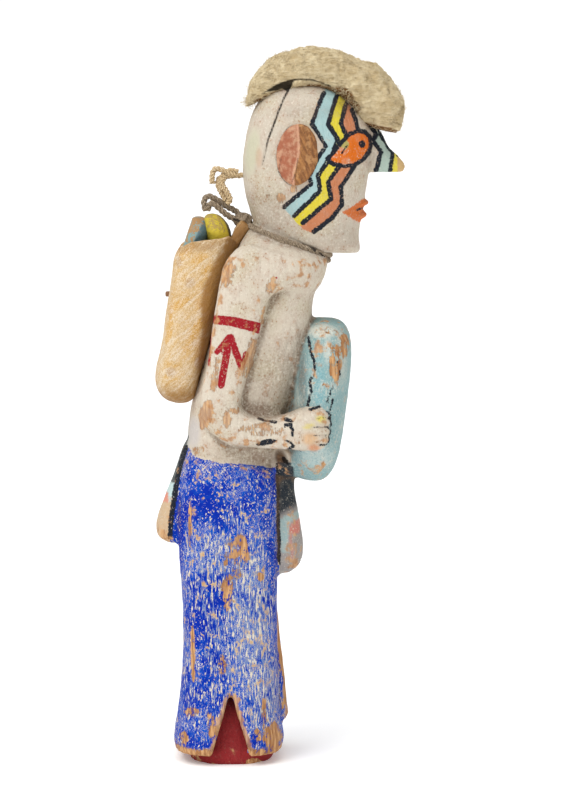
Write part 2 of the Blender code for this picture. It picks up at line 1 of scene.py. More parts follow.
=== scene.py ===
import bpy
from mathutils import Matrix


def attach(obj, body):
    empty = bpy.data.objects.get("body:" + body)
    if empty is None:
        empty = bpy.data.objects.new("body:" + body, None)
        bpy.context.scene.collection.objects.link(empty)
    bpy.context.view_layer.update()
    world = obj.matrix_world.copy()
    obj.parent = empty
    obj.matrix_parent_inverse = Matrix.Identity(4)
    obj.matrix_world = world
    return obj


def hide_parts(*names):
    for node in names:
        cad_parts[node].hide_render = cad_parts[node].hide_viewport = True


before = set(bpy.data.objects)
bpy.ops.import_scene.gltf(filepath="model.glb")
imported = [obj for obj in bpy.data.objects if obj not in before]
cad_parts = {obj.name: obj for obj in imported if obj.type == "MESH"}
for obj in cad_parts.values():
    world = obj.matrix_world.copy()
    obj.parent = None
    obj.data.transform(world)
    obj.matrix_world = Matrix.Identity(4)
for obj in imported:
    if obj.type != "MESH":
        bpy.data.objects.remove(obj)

"""Looks of a carved and painted kachina doll seen from its right side.

Every carved form is a skin through stations: a station gives a rear and a front point in the
doll's middle plane, a half width across it and a squareness of the outline.  Paint is laid out
on a side drawing of the doll, whose units are one pixel of a 571 by 800 sheet, and reaches the
shaders as smooth fields kept on the mesh's points.
"""

import logging
import math
from dataclasses import dataclass, field
from enum import Enum
from typing import Dict, List, Optional, Sequence, Tuple, Union

import bpy
import numpy as np

log = logging.getLogger("kachina_doll")

MM = 0.001
Array = np.ndarray
Point2 = Tuple[float, float]
Station = Tuple[float, float, float, float, float, float]
Point3 = Tuple[float, float, float]
Colour = Point3
Number = Union[int, float]
Obj = bpy.types.Object
Mesh = bpy.types.Mesh
Material = bpy.types.Material

# a distance on the side drawing that no brush mark reaches
FAR = 50.0


def tint(red: Number, green: Number, blue: Number) -> Colour:
    """Linear colour of three 0 to 255 display values."""
    shown = np.array([red, green, blue], dtype=float) / 255.0
    return tuple(np.where(shown <= 0.04045, shown / 12.92, ((shown + 0.055) / 1.055) ** 2.4).tolist())


def smoothstep(low: float, high: float, values: Array) -> Array:
    """Smooth rise from 0 at low to 1 at high: t squared times (3 - 2 t)."""
    t = np.clip((values - low) / (high - low), 0.0, 1.0)
    return t * t * (3.0 - 2.0 * t)


# noise


class Noise:
    """Seeded smooth value noise on points in space."""

    def __init__(self, seed: int) -> None:
        """Fills the table of random values.

        Args:
            seed: number that fixes the table.
        """
        self.table: Array = np.random.default_rng(seed).random(8192) * 2.0 - 1.0

    def value(self, points: Array) -> Array:
        """Noise from -1 to 1: lattice values blended with the smooth curve t t (3 - 2 t).

        Args:
            points: n by 3 array, one lattice cell per unit.

        Returns:
            n values.
        """
        cell = np.floor(points).astype(np.int64)
        part = points - cell
        part = part * part * (3.0 - 2.0 * part)
        total = np.zeros(len(points))
        for corner in range(8):
            step = np.array([corner & 1, (corner >> 1) & 1, (corner >> 2) & 1])
            index = cell + step
            key = (index[:, 0] * 73856093) ^ (index[:, 1] * 19349663) ^ (index[:, 2] * 83492791)
            weight = np.prod(np.where(step, part, 1.0 - part), axis=1)
            total += weight * self.table[key & 8191]
        return total

    def layered(self, points: Array, octaves: int = 3) -> Array:
        """Sum of octaves, each twice as fine and half as strong.

        Args:
            points: n by 3 array, one lattice cell per unit.
            octaves: how many octaves.

        Returns:
            n values.
        """
        total, strength = np.zeros(len(points)), 1.0
        for octave in range(octaves):
            total += strength * self.value(points * 2.0 ** octave + 17.3 * octave)
            strength *= 0.5
        return total


# the side drawing


@dataclass(frozen=True)
class SideDrawing:
    """The doll's side as a drawing: where a point of the doll lands on the sheet."""

    width: int = 571
    height: int = 800
    elevation: float = math.radians(6.0)
    distance: float = 1.5
    target: Point3 = (0.0, -0.0214, 0.141)
    unit: float = 0.0003924

    @property
    def eye(self) -> Array:
        """Place that the doll is drawn from."""
        reach = np.array([-math.cos(self.elevation), 0.0, math.sin(self.elevation)])
        return np.array(self.target) + reach * self.distance

    @property
    def lens(self) -> float:
        """Focal length in millimetres where the sheet's long side takes 36 mm."""
        return self.distance / self.unit / self.height * 36.0

    def project(self, points: Array) -> Array:
        """Sheet coordinates of points; the far side is drawn as the near side's mirror image.

        Each point is taken along the sheet's right and up directions and divided by its depth.

        Args:
            points: n by 3 array in metres.

        Returns:
            n by 2 array, u to the doll's front and v downward.
        """
        near = points.copy()
        near[:, 0] = -np.abs(near[:, 0])
        away = near - self.eye
        look = np.array([math.cos(self.elevation), 0.0, -math.sin(self.elevation)])
        rise = np.array([math.sin(self.elevation), 0.0, math.cos(self.elevation)])
        depth = away @ look
        scale = self.distance / self.unit / depth
        return np.stack([self.width / 2.0 - away[:, 1] * scale, self.height / 2.0 - (away @ rise)
                         * scale], axis=1)


SHEET = SideDrawing()


@dataclass(frozen=True)
class Stroke:
    """A brush stroke or an outline on the side drawing."""

    points: Tuple[Point2, ...]
    width: float = 4.0

    def _nearest(self, uv: Array, closed: bool) -> Tuple[Array, Array]:
        """Distance to the nearest stretch and the side on which each point lies.

        The distance to a stretch a-b is that to a + t (b - a), with t the clipped projection.

        Args:
            uv: n by 2 places on the sheet.
            closed: whether the last point joins the first.

        Returns:
            The distances, and 1, 0 or -1 for the side.
        """
        knots = np.array(self.points + (self.points[:1] if closed else ()))
        best = np.full(len(uv), 1e9)
        turn = np.zeros(len(uv))
        for start, end in zip(knots[:-1], knots[1:]):
            along = end - start
            t = np.clip(((uv - start) @ along) / (along @ along), 0.0, 1.0)
            away = uv - start - t[:, None] * along
            gap = np.hypot(away[:, 0], away[:, 1])
            cross = along[0] * away[:, 1] - along[1] * away[:, 0]
            closer = gap < best - 1e-9
            best = np.where(closer, gap, best)
            turn = np.where(closer, np.sign(cross), turn)
        return best, turn

    def ink(self, uv: Array) -> Array:
        """Distance to the stroke's edge, negative inside the stroke."""
        return self._nearest(uv, False)[0] - self.width / 2.0

    def side(self, uv: Array) -> Array:
        """Signed distance to the line, positive to the doll's front as it runs down the sheet."""
        gap, turn = self._nearest(uv, False)
        return -gap * turn

    def area(self, uv: Array) -> Array:
        """Signed distance to a closed outline, negative inside by the even-odd rule.

        Args:
            uv: n by 2 places on the sheet.

        Returns:
            n distances.
        """
        gap, _ = self._nearest(uv, True)
        knots = np.array(self.points)
        inside = np.zeros(len(uv), dtype=bool)
        for (u0, v0), (u1, v1) in zip(knots, np.roll(knots, -1, axis=0)):
            crosses = (v0 > uv[:, 1]) != (v1 > uv[:, 1])
            run = (u1 - u0) * (uv[:, 1] - v0) / (v1 - v0 if v1 != v0 else 1e-9) + u0
            inside ^= crosses & (uv[:, 0] < run)
        return np.where(inside, -gap, gap)


def nearest_ink(strokes: Sequence[Stroke], uv: Array) -> Array:
    """Distance to the nearest of several strokes, negative inside one."""
    return np.min([stroke.ink(uv) for stroke in strokes], axis=0)


@dataclass(frozen=True)
class Blot:
    """A soft elliptical patch on the side drawing."""

    u: float
    v: float
    half_width: float
    half_height: float
    strength: float = 1.0
    turn: float = 0.0

    def field(self, uv: Array) -> Array:
        """Strength times a bell that falls to nothing at the ellipse's edge.

        Args:
            uv: n by 2 places on the sheet.

        Returns:
            n values.
        """
        angle = math.radians(self.turn)
        away = uv - np.array((self.u, self.v))
        across = away[:, 0] * math.cos(angle) + away[:, 1] * math.sin(angle)
        along = -away[:, 0] * math.sin(angle) + away[:, 1] * math.cos(angle)
        reach = np.sqrt((across / self.half_width) ** 2 + (along / self.half_height) ** 2)
        return self.strength * (1.0 - smoothstep(0.35, 1.0, reach))


def strongest(blots: Sequence[Blot], uv: Array) -> Array:
    """Greatest of several patches at each point."""
    return np.max([blot.field(uv) for blot in blots], axis=0)


def lay(colour: Array, uv: Array, mask: Array, blots: Sequence[Tuple[Blot, Colour]]) -> Array:
    """Lays coloured patches over a ground, each by its share: c (1 - s) + shade s.

    Args:
        colour: n by 3 ground colours.
        uv: n by 2 places on the side drawing.
        mask: where the patches may lie.
        blots: patches with their colours, from the lowest up.

    Returns:
        The new colours.
    """
    for blot, shade in blots:
        share = (blot.field(uv) * mask)[:, None]
        colour = colour * (1.0 - share) + np.array(shade) * share
    return colour


# surfaces


def spline(stations: Sequence[Sequence[float]], count: int) -> Array:
    """Rows between stations on a Catmull-Rom curve, spread evenly by the stations' distances.

    Args:
        stations: rows of numbers, the first four of which place the station.
        count: how many rows to return.

    Returns:
        count rows.
    """
    rows = np.array(stations, dtype=float)
    middle = (rows[:, 0:2] + rows[:, 2:4]) / 2.0 if rows.shape[1] >= 4 else rows
    steps = np.maximum(np.linalg.norm(np.diff(middle, axis=0), axis=1), 1e-6)
    knots = np.concatenate([[0.0], np.cumsum(steps)])
    slopes = np.zeros_like(rows)
    slopes[1:-1] = (rows[2:] - rows[:-2]) / (knots[2:] - knots[:-2])[:, None]
    slopes[0] = (rows[1] - rows[0]) / steps[0]
    slopes[-1] = (rows[-1] - rows[-2]) / steps[-1]
    at = np.linspace(0.0, knots[-1], count)
    index = np.clip(np.searchsorted(knots, at, side="right") - 1, 0, len(knots) - 2)
    span = steps[index][:, None]
    t = ((at - knots[index]) / steps[index])[:, None]
    h00 = 2 * t ** 3 - 3 * t ** 2 + 1
    h10 = t ** 3 - 2 * t ** 2 + t
    h01 = -2 * t ** 3 + 3 * t ** 2
    h11 = t ** 3 - t ** 2
    return (h00 * rows[index] + h10 * span * slopes[index] + h01 * rows[index + 1] + h11 * span
            * slopes[index + 1])


def unit(rows: Array) -> Array:
    """Rows scaled to length 1."""
    return rows / np.linalg.norm(rows, axis=1)[:, None]


def signed_power(values: Array, power: Union[float, Array]) -> Array:
    """Size of each value raised to a power, with its sign kept."""
    return np.sign(values) * np.abs(values) ** power


def circle(count: int) -> Array:
    """Angles of a ring's points, as one row."""
    return np.linspace(0.0, 2.0 * math.pi, count, endpoint=False)[None, :]


def lattice(x: Array, y: Array, z: Array) -> Array:
    """Grid of points in metres from grids of millimetres that are spread to one shape."""
    return np.stack(np.broadcast_arrays(x, y, z), axis=-1) * MM


def skin(stations: Sequence[Station], rings: int, count: int, grow: float = 0.0) -> Array:
    """Superellipse rings through stations.

    A ring is middle + width sign(cos)|cos|^(2/n) X + depth sign(sin)|sin|^(2/n) D, where D runs
    from the station's front point to its rear point.

    Args:
        stations: rear y, rear z, front y, front z, half width and squareness n, in millimetres.
        rings: how many rings.
        count: points in a ring.
        grow: how far the rings are moved outward.

    Returns:
        rings by count by 3 array in metres.
    """
    rows = spline(stations, rings)
    rear, front = rows[:, 0:2], rows[:, 2:4]
    middle = (rear + front) / 2.0
    half = (rear - front) / 2.0
    depth = np.linalg.norm(half, axis=1)
    direction = half / depth[:, None]
    angle = circle(count)
    power = (2.0 / rows[:, 5])[:, None]
    across = (rows[:, 4][:, None] + grow) * signed_power(np.cos(angle), power)
    along = (depth[:, None] + grow) * signed_power(np.sin(angle), power)
    return lattice(across, middle[:, :1] + direction[:, :1] * along,
                   middle[:, 1:] + direction[:, 1:] * along)


def grid_faces(rings: int, count: int, start: int = 0) -> Array:
    """Quads of a grid that closes round its second direction.

    Args:
        rings: how many rings.
        count: how many points are in a ring.
        start: number of the grid's first point.

    Returns:
        n by 4 point numbers.
    """
    ring = np.arange(rings - 1)[:, None] * count
    step = np.arange(count)[None, :]
    following = (step + 1) % count
    quads = np.stack([ring + step, ring + following, ring + count + following, ring + count + step],
                     axis=-1)
    return quads.reshape(-1, 4) + start


def build_mesh(name: str, points: Array, faces: Sequence[Sequence[int]]) -> Mesh:
    """Mesh from points and faces of any length.

    Args:
        name: name of what is made.
        points: n by 3 places in metres.
        faces: the point numbers of each face.

    Returns:
        The mesh.
    """
    mesh = bpy.data.meshes.new(name)
    mesh.from_pydata(points.reshape(-1, 3).tolist(), [], [list(map(int, f)) for f in faces])
    mesh.update()
    return mesh


def link(name: str, data: bpy.types.ID) -> Obj:
    """Object of a mesh, lamp or camera, linked to the scene.

    Args:
        name: name of what is made.
        data: mesh, lamp or camera.

    Returns:
        The object.
    """
    obj = bpy.data.objects.new(name, data)
    bpy.context.scene.collection.objects.link(obj)
    return obj


def closed_skin(name: str, grid: Array) -> Obj:
    """Closed object of a grid of rings, with a flat fan at each end.

    Args:
        name: name of what is made.
        grid: rings by count by 3 array in metres.

    Returns:
        The object.
    """
    rings, count = grid.shape[:2]
    points = np.concatenate([grid.reshape(-1, 3), grid[0].mean(axis=0)[None],
                             grid[-1].mean(axis=0)[None]])
    faces = grid_faces(rings, count).tolist()
    first, last = rings * count, rings * count + 1
    for step in range(count):
        following = (step + 1) % count
        faces.append([first, following, step])
        faces.append([last, (rings - 1) * count + step, (rings - 1) * count + following])
    return solid(name, points, faces)


def solid(name: str, points: Array, faces: Sequence[Sequence[int]]) -> Obj:
    """Closed object whose faces are turned outward where its signed volume is negative.

    Args:
        name: name of what is made.
        points: n by 3 places in metres.
        faces: the point numbers of each face.

    Returns:
        The object.
    """
    mesh = build_mesh(name, points, faces)
    mesh.calc_loop_triangles()
    corners = vertices(mesh)
    tris = np.empty(len(mesh.loop_triangles) * 3, dtype=np.int64)
    mesh.loop_triangles.foreach_get("vertices", tris)
    a, b, c = (corners[tris.reshape(-1, 3)[:, k]] for k in range(3))
    if np.einsum("ij,ij->i", a, np.cross(b, c)).sum() < 0.0:
        mesh.flip_normals()
    return link(name, mesh)


def read(items: bpy.types.bpy_prop_collection, name: str) -> Array:
    """Three numbers of each item of a mesh.

    Args:
        items: points or normals.
        name: what is read of them.

    Returns:
        n by 3 array.
    """
    flat = np.empty(len(items) * 3)
    items.foreach_get(name, flat)
    return flat.reshape(-1, 3)


def vertices(mesh: Mesh) -> Array:
    """Points of a mesh as an n by 3 array."""
    return read(mesh.vertices, "co")


def normals(mesh: Mesh) -> Array:
    """Point normals of a mesh as an n by 3 array."""
    return read(mesh.vertex_normals, "vector")


def hollows(mesh: Mesh, rounds: int) -> Array:
    """Depth in metres by which a point lies in a hollow, negative on an edge.

    Positions are averaged with their neighbours several times; the depth is the way from the
    point to its average, measured along the normal.

    Args:
        mesh: mesh to work on.
        rounds: how many times the places are averaged.

    Returns:
        n depths.
    """
    points = vertices(mesh)
    ends = np.empty(len(mesh.edges) * 2, dtype=np.int64)
    mesh.edges.foreach_get("vertices", ends)
    ends = ends.reshape(-1, 2)
    both = np.concatenate([ends[:, 0], ends[:, 1]])
    other = np.concatenate([ends[:, 1], ends[:, 0]])
    degree = np.maximum(np.bincount(both, minlength=len(points)), 1)
    smooth = points.copy()
    for _ in range(rounds):
        smooth = np.stack([np.bincount(both, weights=smooth[other, axis],
                                       minlength=len(points)) / degree for axis in range(3)], axis=1)
    return np.einsum("ij,ij->i", normals(mesh), smooth - points)


def put_vertices(mesh: Mesh, points: Array) -> None:
    """Writes an n by 3 array back into a mesh."""
    mesh.vertices.foreach_set("co", points.reshape(-1))
    mesh.update()


def put_field(mesh: Mesh, name: str, values: Array) -> None:
    """Keeps one number per point on a mesh for the shader."""
    layer = mesh.attributes.new(name, "FLOAT", "POINT")
    layer.data.foreach_set("value", values.astype(np.float32))


def put_colour(mesh: Mesh, name: str, colours: Array) -> None:
    """Keeps one colour per point on a mesh for the shader.

    Args:
        mesh: mesh to work on.
        name: the attribute's name.
        colours: n by 3 linear colours.
    """
    layer = mesh.attributes.new(name, "FLOAT_COLOR", "POINT")
    full = np.ones((len(colours), 4), dtype=np.float32)
    full[:, :3] = colours
    layer.data.foreach_set("color", full.reshape(-1))


def coat(obj: Obj, material: Material) -> Obj:
    """Gives an object its only material and smooth faces.

    Args:
        obj: object to work on.
        material: its material.

    Returns:
        The same object.
    """
    obj.data.materials.clear()
    obj.data.materials.append(material)
    obj.data.shade_smooth()
    return obj


def apply_modifiers(obj: Obj) -> Obj:
    """Replaces an object's mesh by its evaluated one.

    Args:
        obj: object to work on.

    Returns:
        The same object.
    """
    bpy.context.view_layer.update()
    graph = bpy.context.evaluated_depsgraph_get()
    mesh = bpy.data.meshes.new_from_object(obj.evaluated_get(graph))
    old = obj.data
    obj.modifiers.clear()
    obj.data = mesh
    bpy.data.meshes.remove(old)
    return obj


def combine(target: Obj, tool: Obj, operation: str, keep: bool = False) -> Obj:
    """Boolean of two closed objects, after which the tool is removed unless it is kept.

    Args:
        target: closed object that is changed.
        tool: closed object to join or cut with.
        operation: the operation's name.
        keep: whether the tool stays.

    Returns:
        The changed object.
    """
    modifier = target.modifiers.new("join", "BOOLEAN")
    modifier.operation = operation
    modifier.solver = "MANIFOLD"
    modifier.object = tool
    apply_modifiers(target)
    if not keep:
        bpy.data.objects.remove(tool)
    return target


def fuse(name: str, objects: Sequence[Obj], voxel: float, smoothing: int) -> Obj:
    """One even, softened skin over several overlapping closed objects.

    Args:
        name: name of the result.
        objects: closed objects, which are used up.
        voxel: size of the skin's faces in metres.
        smoothing: how many times the skin is relaxed.

    Returns:
        The fused object.
    """
    points, faces, start = [], [], 0
    for obj in objects:
        mesh = obj.data
        points.append(vertices(mesh))
        faces += [[start + index for index in polygon.vertices] for polygon in mesh.polygons]
        start += len(mesh.vertices)
        bpy.data.objects.remove(obj)
    fused = link(name, build_mesh(name, np.concatenate(points), faces))
    remesh = fused.modifiers.new("even", "REMESH")
    remesh.mode = "VOXEL"
    remesh.voxel_size = voxel
    relax = fused.modifiers.new("relax", "SMOOTH")
    relax.factor = 0.5
    relax.iterations = smoothing
    return apply_modifiers(fused)


# shader writing


class Value:
    """A shader socket that adds Math nodes when it is used in an expression."""

    def __init__(self, tree: "Tree", socket: bpy.types.NodeSocket) -> None:
        """Keeps the tree and the socket."""
        self.tree = tree
        self.socket = socket

    def __add__(self, other: "Operand") -> "Value":
        """Sum."""
        return self.tree.math("ADD", self, other)

    def __radd__(self, other: "Operand") -> "Value":
        """Reflected sum."""
        return self.tree.math("ADD", other, self)

    def __sub__(self, other: "Operand") -> "Value":
        """Difference."""
        return self.tree.math("SUBTRACT", self, other)

    def __rsub__(self, other: "Operand") -> "Value":
        """Reflected difference."""
        return self.tree.math("SUBTRACT", other, self)

    def __mul__(self, other: "Operand") -> "Value":
        """Product."""
        return self.tree.math("MULTIPLY", self, other)

    def __rmul__(self, other: "Operand") -> "Value":
        """Reflected product."""
        return self.tree.math("MULTIPLY", other, self)

    def __or__(self, other: "Operand") -> "Value":
        """Greater of two masks."""
        return self.tree.math("MAXIMUM", self, other)

    def __and__(self, other: "Operand") -> "Value":
        """Smaller of two masks."""
        return self.tree.math("MINIMUM", self, other)


Operand = Union[Value, Number]
Stain = Tuple[Value, float, float, float, Colour]


class Tree:
    """Node tree of one material, with short ways to write its maths."""

    def __init__(self, name: str) -> None:
        """Makes the material and keeps its Principled shader.

        Args:
            name: name of what is made.
        """
        self.material = bpy.data.materials.new(name)
        self.material.use_nodes = True
        self.nodes = self.material.node_tree.nodes
        self.links = self.material.node_tree.links
        self.shader = self.nodes["Principled BSDF"]
        self.place = Value(self, self.node("ShaderNodeTexCoord").outputs["Object"])

    def node(self, kind: str, settings: Optional[Dict[str, object]] = None,
             inputs: Optional[Dict[Union[str, int], object]] = None) -> bpy.types.Node:
        """Adds a node.

        Args:
            kind: the node's type.
            settings: properties that are set first.
            inputs: values or links of its sockets, by name or number.

        Returns:
            The node.
        """
        made = self.nodes.new(kind)
        for key, value in (settings or {}).items():
            setattr(made, key, value)
        for key, value in (inputs or {}).items():
            self.feed(made.inputs[key], value)
        return made

    def feed(self, socket: bpy.types.NodeSocket, value: object) -> None:
        """Links a Value to a socket, or sets the socket's own value.

        Args:
            socket: socket to feed.
            value: value to feed or to map.
        """
        if isinstance(value, Value):
            self.links.new(value.socket, socket)
        elif isinstance(value, tuple) and len(value) == 3 and socket.type == "RGBA":
            socket.default_value = (*value, 1.0)
        else:
            socket.default_value = value

    def math(self, operation: str, first: Operand, second: Operand = 0.0) -> Value:
        """Math node on one or two numbers."""
        made = self.node("ShaderNodeMath", {"operation": operation}, {0: first, 1: second})
        return Value(self, made.outputs[0])

    def step(self, low: float, high: float, value: Value) -> Value:
        """Smooth rise from 0 at low to 1 at high, or fall where low is the greater."""
        made = self.node("ShaderNodeMapRange", {"interpolation_type": "SMOOTHSTEP"},
                         {"Value": value, "From Min": min(low, high), "From Max": max(low, high),
                          "To Min": 0.0 if low < high else 1.0,
                          "To Max": 1.0 if low < high else 0.0})
        return Value(self, made.outputs["Result"])

    def stretched(self, scale: Point3, turn: float) -> Value:
        """Object coordinates turned about X, then scaled along each direction.

        Args:
            scale: scale along each direction.
            turn: turn about X in radians.

        Returns:
            The vector.
        """
        turned = self.node("ShaderNodeMapping", {"vector_type": "POINT"},
                           {"Vector": self.place, "Rotation": (turn, 0.0, 0.0)})
        made = self.node("ShaderNodeVectorMath", {"operation": "MULTIPLY"},
                         {0: Value(self, turned.outputs["Vector"]), 1: scale})
        return Value(self, made.outputs["Vector"])

    def noise(self, scale: float, detail: float = 3.0, roughness: float = 0.55,
              stretch: Point3 = (1.0, 1.0, 1.0),
              distortion: float = 0.0, turn: float = 0.0) -> Value:
        """Noise from 0 to 1, scale in cells per metre, turned about X before it is stretched.

        Args:
            scale: cells per metre.
            detail: number of finer layers.
            roughness: strength of the finer layers.
            stretch: scale along each direction.
            distortion: how far the noise is bent.
            turn: turn about X in radians.

        Returns:
            The noise.
        """
        vector = self.stretched(stretch, turn) if stretch != (1.0, 1.0, 1.0) else self.place
        made = self.node("ShaderNodeTexNoise", {"noise_dimensions": "3D"},
                         {"Vector": vector, "Scale": scale, "Detail": detail,
                          "Roughness": roughness, "Distortion": distortion})
        return Value(self, made.outputs["Fac"])

    def field(self, name: str) -> Value:
        """Number kept on the mesh's points."""
        made = self.node("ShaderNodeAttribute", {"attribute_name": name})
        return Value(self, made.outputs["Fac"])

    def colours(self, name: str) -> Value:
        """Colour kept on the mesh's points."""
        made = self.node("ShaderNodeAttribute", {"attribute_name": name})
        return Value(self, made.outputs["Color"])

    def mix(self, share: Operand, first: object, second: object) -> Value:
        """Colour between two colours."""
        made = self.node("ShaderNodeMix", {"data_type": "RGBA"}, {0: share, 6: first, 7: second})
        return Value(self, made.outputs[2])

    def stains(self, colour: Value, rows: Sequence[Stain]) -> Value:
        """Lays colours one over another, each where a value has gone from low to high.

        Args:
            colour: the ground colour.
            rows: value, low, high, strength and colour of each layer.

        Returns:
            The colour.
        """
        for value, low, high, share, shade in rows:
            colour = self.mix(self.step(low, high, value) * share, colour, shade)
        return colour

    def bump(self, height: Value, distance: float, strength: float = 1.0) -> Value:
        """Bump of a height from 0 to 1, distance in metres."""
        made = self.node("ShaderNodeBump", {}, {"Height": height, "Distance": distance,
                                                "Strength": strength})
        return Value(self, made.outputs["Normal"])

    def finish(self, colour: object, roughness: object, normal: Optional[Value] = None,
               gloss: float = 0.5) -> Material:
        """Feeds the shader and returns the material, gloss being its specular level.

        Args:
            colour: the base colour.
            roughness: the surface's roughness.
            normal: the bumped normal.
            gloss: the specular level.

        Returns:
            The material.
        """
        self.feed(self.shader.inputs["Base Color"], colour)
        self.feed(self.shader.inputs["Roughness"], roughness)
        if normal is not None:
            self.feed(self.shader.inputs["Normal"], normal)
        self.shader.inputs["Specular IOR Level"].default_value = gloss
        return self.material


# the carving's stations

TORSO: Tuple[Station, ...] = (
    (16.0, 114.0, -16.5, 110.0, 19.5, 2.8), (17.0, 125.0, -17.5, 118.5, 20.0, 2.8),
    (15.9, 136.0, -20.5, 130.0, 20.5, 2.8), (13.2, 148.0, -24.2, 144.0, 21.0, 2.8),
    (9.5, 161.0, -28.4, 157.0, 21.3, 2.8), (6.0, 173.0, -30.9, 169.0, 21.3, 2.8),
    (2.5, 186.0, -32.8, 183.5, 21.5, 2.8), (1.2, 190.0, -35.2, 186.8, 24.5, 2.7),
    (-0.5, 195.5, -36.8, 191.0, 26.2, 2.6), (-3.2, 202.0, -37.8, 194.8, 25.0, 2.5),
    (-6.0, 206.8, -38.2, 197.0, 20.0, 2.3), (-8.0, 209.8, -37.6, 198.6, 16.0, 2.2),
    (-9.5, 214.0, -36.5, 202.5, 15.0, 2.2))

HEAD: Tuple[Station, ...] = (
    (-14.0, 201.5, -49.6, 198.9, 11.5, 2.3), (-10.6, 205.8, -50.5, 200.3, 15.0, 2.4),
    (-8.9, 210.9, -50.0, 206.0, 17.6, 2.4), (-7.4, 216.0, -50.9, 212.5, 19.3, 2.4),
    (-5.8, 221.5, -52.0, 218.5, 20.4, 2.4), (-4.9, 228.0, -53.0, 226.0, 21.2, 2.4),
    (-4.8, 235.0, -54.3, 234.0, 21.6, 2.4), (-5.6, 242.0, -54.6, 241.5, 21.6, 2.4),
    (-7.2, 249.5, -53.8, 248.0, 21.0, 2.4), (-10.0, 256.5, -50.6, 253.5, 19.2, 2.3),
    (-14.0, 261.2, -46.2, 258.6, 16.0, 2.2), (-19.5, 264.2, -41.0, 262.6, 11.0, 2.1),
    (-26.0, 265.9, -34.5, 265.6, 4.5, 2.0))

# rear and front points of an arm lie on its outer side; then its middle and half thickness
ARM: Tuple[Station, ...] = (
    (-7.0, 204.0, -24.0, 198.5, 20.5, 4.5), (-2.4, 201.7, -25.4, 191.7, 20.8, 6.4),
    (2.2, 195.6, -21.6, 186.7, 21.0, 7.0), (4.1, 188.3, -15.8, 183.6, 21.2, 7.0),
    (5.7, 178.6, -13.1, 175.5, 21.4, 7.0), (6.9, 170.9, -11.2, 169.0, 21.4, 7.0),
    (8.4, 159.3, -8.1, 157.8, 21.2, 7.2), (10.4, 149.6, -5.8, 149.6, 21.0, 7.6),
    (11.5, 141.9, -4.4, 143.6, 20.8, 8.0), (10.2, 134.1, -4.8, 140.6, 20.6, 8.0),
    (6.6, 129.9, -7.7, 138.0, 20.6, 7.8), (-0.8, 125.9, -12.3, 136.9, 20.8, 7.4),
    (-11.0, 124.8, -16.8, 136.9, 21.0, 7.2), (-18.6, 124.4, -21.6, 138.0, 21.5, 7.2),
    (-24.6, 124.0, -25.8, 139.6, 22.2, 7.2), (-31.0, 123.8, -31.6, 140.6, 22.8, 7.0),
    (-36.6, 125.0, -36.8, 139.6, 22.4, 6.0), (-38.4, 127.0, -38.4, 137.0, 21.6, 4.6))

SKIRT: Tuple[Station, ...] = (
    (16.9, 122.2, -17.6, 115.0, 21.6, 3.2), (19.3, 115.5, -18.4, 109.5, 23.2, 3.4),
    (20.4, 100.0, -18.5, 98.0, 23.8, 3.5), (20.2, 80.0, -18.3, 79.0, 23.8, 3.5),
    (19.0, 60.1, -18.0, 60.1, 23.6, 3.5), (18.8, 45.7, -18.2, 45.7, 24.0, 3.4),
    (19.6, 32.0, -18.5, 32.0, 25.0, 3.2), (20.9, 20.0, -18.9, 20.0, 26.2, 3.1),
    (22.7, 8.0, -20.7, 8.0, 27.2, 3.0), (22.0, 4.0, -19.9, 4.0, 26.6, 3.0))

BACK_PANEL: Tuple[Station, ...] = (
    (16.4, 126.8, 12.0, 126.8, 4.5, 2.2), (18.9, 122.5, 12.0, 122.5, 9.0, 2.6),
    (21.7, 114.0, 12.0, 114.0, 11.0, 3.0), (26.2, 102.6, 12.0, 102.6, 12.5, 3.0),
    (29.2, 93.6, 12.0, 93.6, 13.0, 3.0), (28.9, 88.0, 12.0, 88.0, 12.6, 2.8),
    (26.0, 85.6, 12.0, 85.6, 10.5, 2.6))

FRONT_PANEL: Tuple[Station, ...] = (
    (-10.0, 115.0, -21.0, 115.0, 7.5, 2.4), (-10.0, 112.5, -24.2, 112.5, 10.0, 2.8),
    (-10.0, 105.5, -24.8, 105.5, 11.5, 3.0), (-10.0, 95.5, -26.7, 95.5, 12.5, 3.0),
    (-10.0, 84.0, -28.3, 84.0, 13.0, 3.0), (-10.0, 77.0, -27.2, 77.0, 12.2, 2.8),
    (-10.0, 73.4, -23.4, 73.4, 9.5, 2.4))

# joins the waist to the lower end of the tablet
BRIDGE: Tuple[Station, ...] = (
    (-13.0, 111.5, -26.0, 111.5, 9.0, 2.3), (-13.0, 113.5, -30.0, 113.5, 14.0, 2.6),
    (-13.0, 119.0, -31.0, 119.0, 16.0, 2.8), (-13.0, 125.0, -30.0, 125.0, 15.0, 2.6),
    (-13.0, 127.5, -27.0, 127.5, 11.0, 2.3))

NOSE: Tuple[Station, ...] = (
    (-48.0, 249.0, -56.8, 248.4, 3.0, 1.6), (-48.0, 246.5, -59.2, 245.0, 4.0, 1.6),
    (-48.0, 241.5, -61.8, 240.0, 5.2, 1.6), (-48.0, 236.5, -65.4, 236.4, 6.2, 1.6),
    (-48.0, 232.6, -67.9, 232.8, 6.8, 1.7), (-48.0, 230.6, -67.0, 230.6, 6.8, 1.7))

BASE: Tuple[Station, ...] = (
    (16.3, 0.0, -16.3, 0.0, 21.4, 2.5), (16.9, 1.2, -16.9, 1.2, 22.0, 2.5),
    (16.8, 5.6, -16.8, 5.6, 21.8, 2.5), (15.6, 8.5, -15.6, 8.5, 20.6, 2.5),
    (13.6, 32.0, -13.6, 32.0, 17.5, 2.5), (13.2, 36.0, -13.2, 36.0, 17.0, 2.5))

